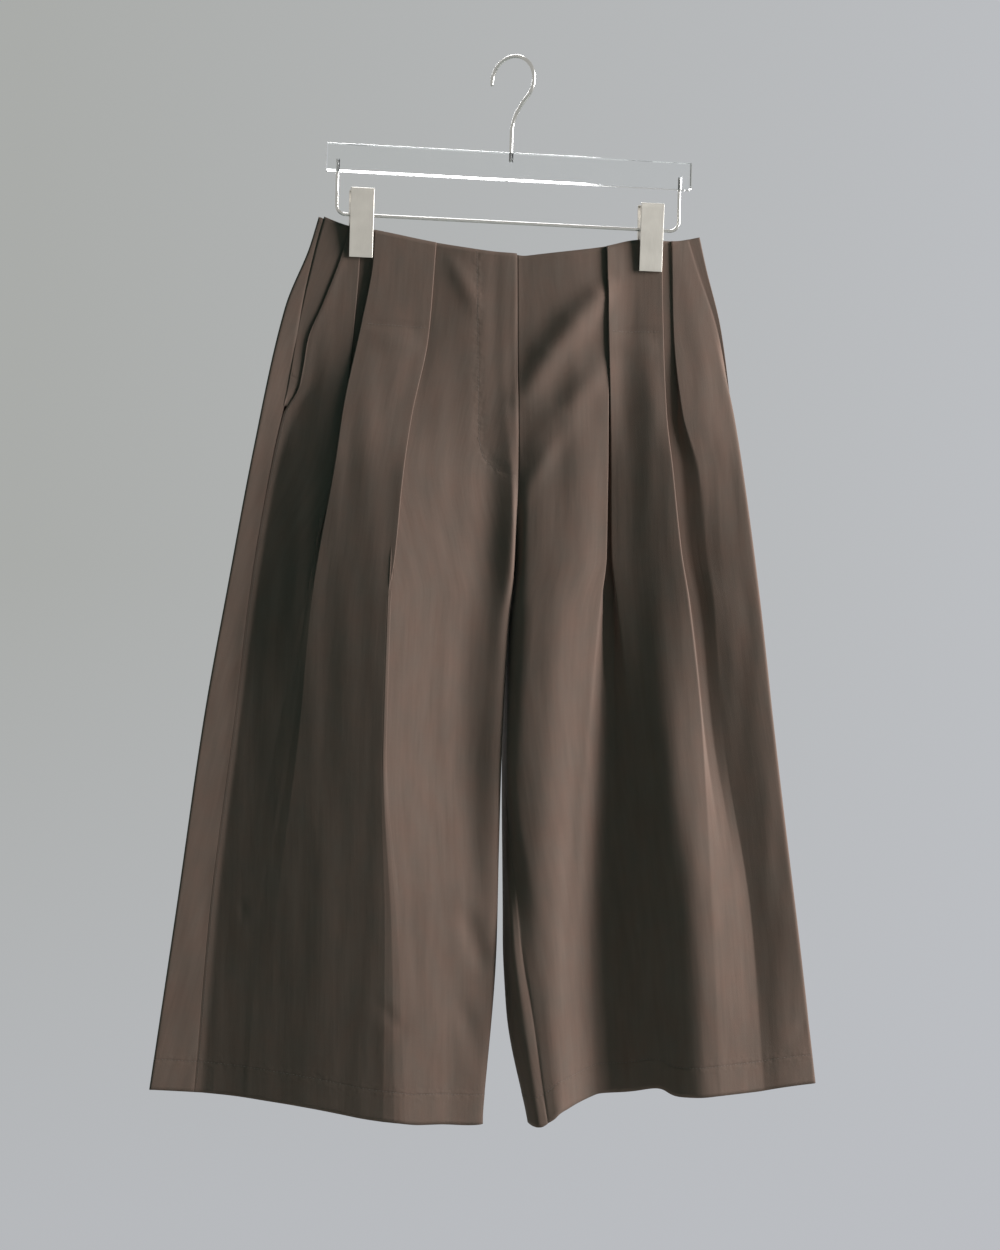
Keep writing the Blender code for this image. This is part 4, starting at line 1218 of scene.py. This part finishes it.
class Nodes:
    """The nodes of one tree."""

    def __init__(self, tree):
        self.tree = tree

    def node(self, kind, settings=None, sockets=None):
        """A node of a type, with its settings made first, then its socket values and links."""
        made = self.tree.nodes.new(kind)
        for key, value in (settings or {}).items():
            setattr(made, key, value)
        for key, value in (sockets or {}).items():
            self.feed(made.inputs[key], value)
        return made

    def feed(self, socket, value):
        """Give a socket a link or a plain value."""
        if isinstance(value, Shade):
            self.tree.links.new(value.socket, socket)
        else:
            socket.default_value = value

    def value(self, number):
        """A constant as a link, for maths that starts from a plain number."""
        node = self.node("ShaderNodeMath", {"operation": "ADD"}, {0: number, 1: 0.0})
        return Shade(self, node.outputs[0])

    def parts(self, kind, output, settings=None):
        """The three parts of the vector that a node puts out."""
        source = self.node(kind, settings)
        split = self.node("ShaderNodeSeparateXYZ",
                          sockets={0: Shade(self, source.outputs[output])})
        return [Shade(self, part) for part in split.outputs]

    def tint(self, share, dark, light):
        """A colour between two others, by a share."""
        ends = [tone if isinstance(tone, Shade) else (*tone, 1.0) for tone in (dark, light)]
        made = self.node("ShaderNodeMix", {"data_type": "RGBA"},
                         {0: share, 6: ends[0], 7: ends[1]})
        return Shade(self, made.outputs[2])


class Finish(Nodes):
    """A procedural material: its Principled shader and the nodes that feed it."""

    def __init__(self, name, **constants):
        self.material = bpy.data.materials.new(name)
        self.material.use_nodes = True
        super().__init__(self.material.node_tree)
        self.shader = self.tree.nodes["Principled BSDF"]
        for socket, value in constants.items():
            self.shader.inputs[socket.replace("_", " ")].default_value = value

    def stored(self, label):
        """A stored measure of the mesh, as its three parts."""
        return self.parts("ShaderNodeAttribute", "Vector", {"attribute_name": label})

    def place(self):
        """Where the surface lies on its own object, in metres, as its three parts."""
        return self.parts("ShaderNodeTexCoord", "Object")

    def noise(self, x, y, z, scale, detail):
        """Soft noise between 0 and 1 at a place made of three parts."""
        place = self.node("ShaderNodeCombineXYZ", sockets={0: x, 1: y, 2: z})
        made = self.node("ShaderNodeTexNoise", sockets={"Vector": Shade(self, place.outputs[0]),
                                                       "Scale": scale, "Detail": detail})
        return Shade(self, made.outputs[0])

    def dress(self, color=None, roughness=None, height=None):
        """Feed the shader's colour, roughness and bump; height is in metres."""
        if color is not None:
            self.feed(self.shader.inputs["Base Color"], color)
        if roughness is not None:
            self.feed(self.shader.inputs["Roughness"], roughness)
        if height is not None:
            bump = self.node("ShaderNodeBump", sockets={"Strength": 1.0, "Distance": 1.0,
                                                        "Height": height})
            self.feed(self.shader.inputs["Normal"], Shade(self, bump.outputs[0]))
        return self.material


def dyed(color, depths):
    """A colour at each of some depths, no part of it above 1."""
    return [tuple(min(1.0, part * depth) for part in color) for depth in depths]


@lru_cache(maxsize=None)
def cotton():
    """Taupe cotton: slubs and streaks along the grain, a plain weave, grooves at the sewing with
    painted shade darkening the colour along them.
    """
    look = bpy.context.scene.shorts_cloth
    finish = Finish("cotton_cloth", Sheen_Weight=0.06, Sheen_Roughness=0.45,
                    Specular_IOR_Level=0.16)
    across, down, rise = finish.stored("grain")
    lap, fly, _ = finish.stored("sewing")
    streak, slub, cloud, hue, weft, pucker = (
        finish.noise(across * wide, down * tall, offset, 1.0, detail) - 0.5
        for wide, tall, offset, detail in COTTON_NOISES)
    weave = across.wave(look.weave_pitch) * down.wave(look.weave_pitch)
    from_hem = rise - look.hem_depth
    # Grooves of the hem stitching, the fly stitching and the fly's lap edge: cut into the bump,
    # and painted as shade into the colour
    stitch_grooves = from_hem.bell(HEM_GROOVE) + fly.bell(FLY_GROOVE) * FLY_SHARE
    grooves_and_painted_shade = stitch_grooves * STITCH_GROOVE_SHARE + lap.bell(LAP_GROOVE)
    drawn = from_hem.bell(HEM_PUCKER) + fly.bell(FLY_PUCKER)
    share = (0.5 + streak * look.streaks + slub * look.slubs + cloud * look.clouds
             + weft * look.streaks * WEFT_SHARE)
    # Painted shade: the colour darkens along the sewing grooves
    shown = (share + weave * WEAVE_TONE - grooves_and_painted_shade * PAINTED_GROOVE_SHADE).held(0.0, 1.0)
    warm, cool = (finish.tint(shown, *dyed(dye, DYE_DEPTHS))
                  for dye in (look.color, look.cool_color))
    color = finish.tint((hue * HUE_CONTRAST + 0.5).held(0.0, 1.0), warm, cool)
    height = (weave * WEAVE_HEIGHT + streak * STREAK_HEIGHT + slub * SLUB_HEIGHT
              - grooves_and_painted_shade * SEWN_DEPTH + pucker * drawn * PUCKER_HEIGHT)
    return finish.dress(color, COTTON_ROUGHNESS - slub * SLUB_POLISH, height)


@lru_cache(maxsize=None)
def thread():
    """Sewing thread, a shade lighter than the cloth, with its twist."""
    look = bpy.context.scene.shorts_cloth
    finish = Finish("sewing_thread", Sheen_Weight=0.2, Specular_IOR_Level=0.3)
    x, y, z = finish.place()
    twist = finish.noise(x, y, z, THREAD_TWIST, 1.0)
    color = finish.tint(twist, *dyed(look.thread_color, THREAD_DEPTHS))
    return finish.dress(color, THREAD_ROUGHNESS + (twist - 0.5) * TWIST_POLISH,
                        twist * TWIST_HEIGHT)


def drawn_metal(name, color, roughness, grain_scales):
    """Metal with fine lines along its length and a faint uneven polish."""
    finish = Finish(name, Metallic=1.0)
    x, y, z = finish.place()
    lines = finish.noise(x * grain_scales[0], y * grain_scales[1], z * grain_scales[2], 1.0, 3.0)
    cloud = finish.noise(x, y, z, METAL_CLOUD, 2.0)
    share = (0.5 + (lines - 0.5) * LINE_SHARE + (cloud - 0.5) * CLOUD_SHARE).held(0.0, 1.0)
    tone = finish.tint(share, *dyed(color, METAL_DEPTHS))
    polish = roughness + (lines - 0.5) * LINE_POLISH + (cloud - 0.5) * CLOUD_POLISH
    return finish.dress(tone, polish, lines * METAL_LINE_HEIGHT)


@lru_cache(maxsize=None)
def nickel():
    """Satin nickel with a warm tone, brushed down the plate."""
    return drawn_metal("nickel_satin", bpy.context.scene.shorts_hanger.nickel,
                       NICKEL_ROUGHNESS, NICKEL_GRAIN)


@lru_cache(maxsize=None)
def steel():
    """Drawn steel wire."""
    return drawn_metal("steel_drawn", bpy.context.scene.shorts_hanger.steel,
                       STEEL_ROUGHNESS, STEEL_GRAIN)


@lru_cache(maxsize=None)
def acrylic():
    """Clear cast acrylic with faint handling haze."""
    look = bpy.context.scene.shorts_hanger
    finish = Finish("acrylic_cast", Transmission_Weight=1.0, IOR=look.acrylic_ior)
    x, y, z = finish.place()
    haze = finish.noise(x, y, z, ACRYLIC_CLOUD, 3.0)
    color = finish.tint(haze, *ACRYLIC_TONES)
    return finish.dress(color, (haze - 0.45).held(0.0, 0.2) * 0.3 + 0.015)


class ClothLook(bpy.types.PropertyGroup):
    """Sizes and colours of the cotton and its sewing."""

    wall: bpy.props.FloatProperty(
        name="Cloth", description="Thickness of one layer of cloth", default=0.00085,
        unit="LENGTH")
    hem_depth: bpy.props.FloatProperty(
        name="Hem", description="Depth of the turned-up hem", default=0.0265, unit="LENGTH")
    waist_depth: bpy.props.FloatProperty(
        name="Waist facing", description="Depth of the facing inside the waist", default=0.032,
        unit="LENGTH")
    ripple: bpy.props.FloatProperty(
        name="Ripple", description="Height of the faint uneven waves", default=0.00045,
        unit="LENGTH")
    weave_pitch: bpy.props.FloatProperty(
        name="Weave", description="Distance between two yarns over one", default=0.0009,
        unit="LENGTH")
    stitch_pitch: bpy.props.FloatProperty(
        name="Stitch", description="Length of one stitch and its gap", default=0.0029,
        unit="LENGTH")
    thread_radius: bpy.props.FloatProperty(
        name="Thread", description="Radius of the sewing thread", default=0.00017, unit="LENGTH")
    color: bpy.props.FloatVectorProperty(
        name="Cotton", description="Colour of the cotton", default=(0.153, 0.094, 0.073),
        subtype="COLOR", size=3, min=0.0, max=1.0)
    cool_color: bpy.props.FloatVectorProperty(
        name="Cotton, cooler", description="Colour of its cooler patches",
        default=(0.131, 0.096, 0.078), subtype="COLOR", size=3, min=0.0, max=1.0)
    thread_color: bpy.props.FloatVectorProperty(
        name="Thread colour", description="Colour of the thread", default=(0.132, 0.096, 0.080),
        subtype="COLOR", size=3, min=0.0, max=1.0)
    streaks: bpy.props.FloatProperty(
        name="Streaks", description="Strength of the fine lines along the grain", default=0.14,
        min=0.0, max=2.0, subtype="FACTOR")
    slubs: bpy.props.FloatProperty(
        name="Slubs", description="Strength of the thicker yarns", default=0.26, min=0.0, max=2.0,
        subtype="FACTOR")
    clouds: bpy.props.FloatProperty(
        name="Clouds", description="Strength of the broad uneven dye", default=0.25, min=0.0,
        max=2.0, subtype="FACTOR")


class HangerLook(bpy.types.PropertyGroup):
    """Sizes and colours of the hanger's fittings."""

    roll_radius: bpy.props.FloatProperty(
        name="Rolled top", description="Bend radius at a jaw's top edge", default=0.0016,
        unit="LENGTH")
    lip_turn: bpy.props.FloatProperty(
        name="Lip", description="Turn of a jaw's gripping edge", default=0.001, unit="LENGTH")
    spring_wire: bpy.props.FloatProperty(
        name="Spring wire", description="Thickness of the spring's wire", default=0.0011,
        unit="LENGTH")
    acrylic_ior: bpy.props.FloatProperty(
        name="Acrylic", description="Refraction of the clear bar", default=1.49, min=1.0, max=2.0)
    nickel: bpy.props.FloatVectorProperty(
        name="Nickel", description="Colour of the clips", default=(0.655, 0.625, 0.575),
        subtype="COLOR", size=3, min=0.0, max=1.0)
    steel: bpy.props.FloatVectorProperty(
        name="Steel", description="Colour of the hook and the wire", default=(0.60, 0.59, 0.57),
        subtype="COLOR", size=3, min=0.0, max=1.0)


class StudioLook(bpy.types.PropertyGroup):
    """The studio around the shorts."""

    key_power: bpy.props.FloatProperty(
        name="Key light", description="Power of the large soft light in watts", default=121.0,
        min=0.0)
    key_turn: bpy.props.FloatProperty(
        name="Key turn", description="Turn of the key light off the front",
        default=math.radians(74.0), subtype="ANGLE")
    key_rise: bpy.props.FloatProperty(
        name="Key rise", description="Height angle of the key light", default=math.radians(22.0),
        subtype="ANGLE")
    key_distance: bpy.props.FloatProperty(
        name="Key distance", description="Distance of the key light", default=2.3, unit="LENGTH")
    back_power: bpy.props.FloatProperty(
        name="Back light", description="Power of the soft light behind in watts", default=46.0,
        min=0.0)
    back_rise: bpy.props.FloatProperty(
        name="Back rise", description="Height angle of the light behind",
        default=math.radians(44.0), subtype="ANGLE")
    ambient: bpy.props.FloatVectorProperty(
        name="Shade", description="Weak light from all around", default=(0.012, 0.086, 0.082),
        subtype="COLOR", size=3, min=0.0, max=1.0)
    reflected: bpy.props.FloatVectorProperty(
        name="Reflected", description="What metal reflects", default=(0.60, 0.60, 0.58),
        subtype="COLOR", size=3, min=0.0, max=1.0)
    # Painted light: the backdrop is brighter at the right, towards the key light, and lighter
    # towards the floor
    backdrop_left: bpy.props.FloatVectorProperty(
        name="Backdrop, left", description="Backdrop at the left", default=(0.402, 0.412, 0.399),
        subtype="COLOR", size=3, min=0.0, max=1.0)
    backdrop_right: bpy.props.FloatVectorProperty(
        name="Backdrop, right", description="Backdrop at the right", default=(0.502, 0.516, 0.538),
        subtype="COLOR", size=3, min=0.0, max=1.0)
    backdrop_low: bpy.props.FloatVectorProperty(
        name="Backdrop, low", description="Backdrop towards the floor",
        default=(0.50, 0.514, 0.548), subtype="COLOR", size=3, min=0.0, max=1.0)
    floor: bpy.props.FloatVectorProperty(
        name="Floor", description="Colour of the floor", default=(0.62, 0.62, 0.60),
        subtype="COLOR", size=3, min=0.0, max=1.0)


class SHORTS_OT_fronts(bpy.types.Operator):
    """Make the two pleated front panels"""

    bl_idname = "shorts.fronts"
    bl_label = "Front panels"

    def execute(self, context):
        """Make both fronts."""
        add_cloth("front_right")
        add_cloth("front_left")
        return {"FINISHED"}


class SHORTS_OT_backs(bpy.types.Operator):
    """Make the two back panels"""

    bl_idname = "shorts.backs"
    bl_label = "Back panels"

    def execute(self, context):
        """Make both backs."""
        add_cloth("back_right")
        add_cloth("back_left")
        return {"FINISHED"}


class SHORTS_OT_facings(bpy.types.Operator):
    """Make the facings behind the two slant pockets"""

    bl_idname = "shorts.facings"
    bl_label = "Pocket facings"

    def execute(self, context):
        """Make both facings."""
        add_cloth("pocket_facing_right")
        add_cloth("pocket_facing_left")
        return {"FINISHED"}


class SHORTS_OT_sewing(bpy.types.Operator):
    """Sew the hems, the side seams, the fly and the pleats"""

    bl_idname = "shorts.sewing"
    bl_label = "Sewing"

    def execute(self, context):
        """Lay every row of stitches."""
        look = context.scene.shorts_cloth
        for panel, (start, end) in SIDE_STITCH_SPANS.items():
            paths = [level_path(panel, look.hem_depth),
                     seam_path(panel, SIDE_STITCH * MM, start, end)]
            paths += [front_path(panel, places) for places in FRONT_STITCHES.get(panel, ())]
            name = "stitches_" + panel
            add_piece(name, stitches_mesh(name, paths), thread(), "taupe_cotton")
        return {"FINISHED"}


class SHORTS_OT_hanger(bpy.types.Operator):
    """Make the hanger's hook, wire and clips, and finish its clear bar"""

    bl_idname = "shorts.hanger"
    bl_label = "Hanger"

    def execute(self, context):
        """Make the hanger's fittings."""
        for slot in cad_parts["hanger_bar"].material_slots:
            slot.material = acrylic()
        add_piece("hook_wire", wire_mesh("hook_wire", hook_points(), HOOK_WIRE_RADIUS), steel(),
                  "steel_wire", "hook")
        add_piece("lower_wire", wire_mesh("lower_wire", clip_wire_points(), WIRE_RADIUS), steel(),
                  "steel_wire", "clip_wire")
        for half, x in CLIP_PLACES.items():
            for label, face in (("front", 1), ("back", -1)):
                name = f"jaw_{label}_{half}"
                add_piece(name, jaw_mesh(name, x, face), nickel(), "satin_nickel",
                          f"clip_{label}_{half}")
            name = "spring_" + half
            add_piece(name, spring_mesh(name, x), steel(), "satin_nickel", "clip_barrel_" + half)
        return {"FINISHED"}


class SHORTS_OT_studio(bpy.types.Operator):
    """Set the floor, the backdrop, the lights and the camera"""

    bl_idname = "shorts.studio"
    bl_label = "Studio"

    def execute(self, context):
        """Build the studio around the shorts."""
        look = context.scene.shorts_studio
        make_floor(look)
        make_world(look)
        make_light("key_light", look.key_power, look.key_turn, look.key_rise, look.key_distance)
        make_light("back_light", look.back_power, math.pi, look.back_rise, look.key_distance)
        make_camera()
        context.scene.view_settings.view_transform = "Standard"
        return {"FINISHED"}


class SHORTS_PT_looks(bpy.types.Panel):
    """The shorts' sizes, colours and pieces"""

    bl_idname = "SHORTS_PT_looks"
    bl_label = "Pleated bermuda shorts"
    bl_space_type = "VIEW_3D"
    bl_region_type = "UI"
    bl_category = "Shorts"

    def draw(self, context):
        """List the settings and the operators."""
        for group in (context.scene.shorts_cloth, context.scene.shorts_hanger,
                      context.scene.shorts_studio):
            box = self.layout.box()
            for name in group.__annotations__:
                box.prop(group, name)
        for operator in OPERATORS:
            self.layout.operator(operator.bl_idname)


OPERATORS = (SHORTS_OT_fronts, SHORTS_OT_backs, SHORTS_OT_facings, SHORTS_OT_sewing,
             SHORTS_OT_hanger, SHORTS_OT_studio)
CLASSES = (ClothLook, HangerLook, StudioLook, *OPERATORS, SHORTS_PT_looks)
GROUPS = {"shorts_cloth": ClothLook, "shorts_hanger": HangerLook, "shorts_studio": StudioLook}


def register():
    """Register the classes and give the scene its settings."""
    for made in CLASSES:
        bpy.utils.register_class(made)
    for name, group in GROUPS.items():
        setattr(bpy.types.Scene, name, bpy.props.PointerProperty(type=group))


def unregister():
    """Take the settings and classes away again."""
    for name in GROUPS:
        delattr(bpy.types.Scene, name)
    for made in reversed(CLASSES):
        bpy.utils.unregister_class(made)


def make_floor(look):
    """A round pale floor well below the hems."""
    mesh = bpy.data.meshes.new("studio_floor")
    turns = [math.tau * step / FLOOR_SIDES for step in range(FLOOR_SIDES)]
    rim = [(FLOOR_RADIUS * math.cos(turn), FLOOR_RADIUS * math.sin(turn), FLOOR_LEVEL)
           for turn in turns]
    mesh.from_pydata(rim, [], [tuple(range(FLOOR_SIDES))])
    floor = bpy.data.objects.new("studio_floor", mesh)
    bpy.context.scene.collection.objects.link(floor)
    finish = Finish("floor_paint", Specular_IOR_Level=0.2)
    x, y, z = finish.place()
    cloud = finish.noise(x, y, z, FLOOR_CLOUD, 2.0)
    color = finish.tint(cloud, *dyed(look.floor, FLOOR_DEPTHS))
    mesh.materials.append(finish.dress(color, 0.8 + cloud * 0.1))


def make_world(look):
    """A pale backdrop with painted light brightening it towards the right, a brighter surround for
    metal to reflect, and weak tinted shade.
    """
    world = bpy.data.worlds.new("studio")
    world.use_nodes = True
    bpy.context.scene.world = world
    nodes = Nodes(world.node_tree)
    sideways, _, upward = nodes.parts("ShaderNodeTexCoord", "Generated")
    rays = nodes.node("ShaderNodeLightPath")
    glossy, through, seen = (Shade(nodes, rays.outputs[name]) for name in (
        "Is Glossy Ray", "Is Transmission Ray", "Is Camera Ray"))
    # Painted light on the backdrop: brighter towards the right, where the key light stands, and
    # lighter towards the floor
    level = nodes.tint(sideways.grown(*SIDE_CHANGE), look.backdrop_left, look.backdrop_right)
    backdrop = nodes.tint(upward.grown(*LOW_CHANGE), level, look.backdrop_low)
    shade = nodes.tint(glossy, look.ambient, look.reflected)
    color = nodes.tint(seen, nodes.tint(through, shade, backdrop), backdrop)
    nodes.feed(world.node_tree.nodes["Background"].inputs["Color"], color)


def make_light(name, power, turn, rise, distance):
    """A large soft light, turned off the front and raised, that shines on the shorts' middle."""
    data = bpy.data.lights.new(name, "AREA")
    data.shape = "RECTANGLE"
    data.size, data.size_y = KEY_SIZE
    data.energy = power
    light = bpy.data.objects.new(name, data)
    bpy.context.scene.collection.objects.link(light)
    aim = Vector((0.0, 0.0, MIDDLE_LEVEL))
    way = Vector((math.cos(rise) * math.sin(turn), -math.cos(rise) * math.cos(turn),
                  math.sin(rise)))
    light.location = aim + way * distance
    light.rotation_euler = way.to_track_quat("Z", "Y").to_euler()


def make_camera():
    """The camera at the photograph's angle, tilted as it was held."""
    data = bpy.data.cameras.new("camera")
    data.lens = CAMERA_LENS
    data.shift_x = CAMERA_SHIFT
    camera = bpy.data.objects.new("camera", data)
    bpy.context.scene.collection.objects.link(camera)
    camera.location = CAMERA_PLACE
    look_way = Vector((-math.sin(CAMERA_TURN), math.cos(CAMERA_TURN), 0.0))
    level = look_way.to_track_quat("-Z", "Y")
    tilt = Quaternion((0.0, 0.0, 1.0), CAMERA_TILT)
    camera.rotation_euler = (level @ tilt).to_euler()
    bpy.context.scene.camera = camera


def main():
    """Make every piece and the studio."""
    register()
    bpy.ops.shorts.fronts()
    bpy.ops.shorts.backs()
    bpy.ops.shorts.facings()
    bpy.ops.shorts.sewing()
    bpy.ops.shorts.hanger()
    bpy.ops.shorts.studio()


if __name__ == "__main__":
    main()
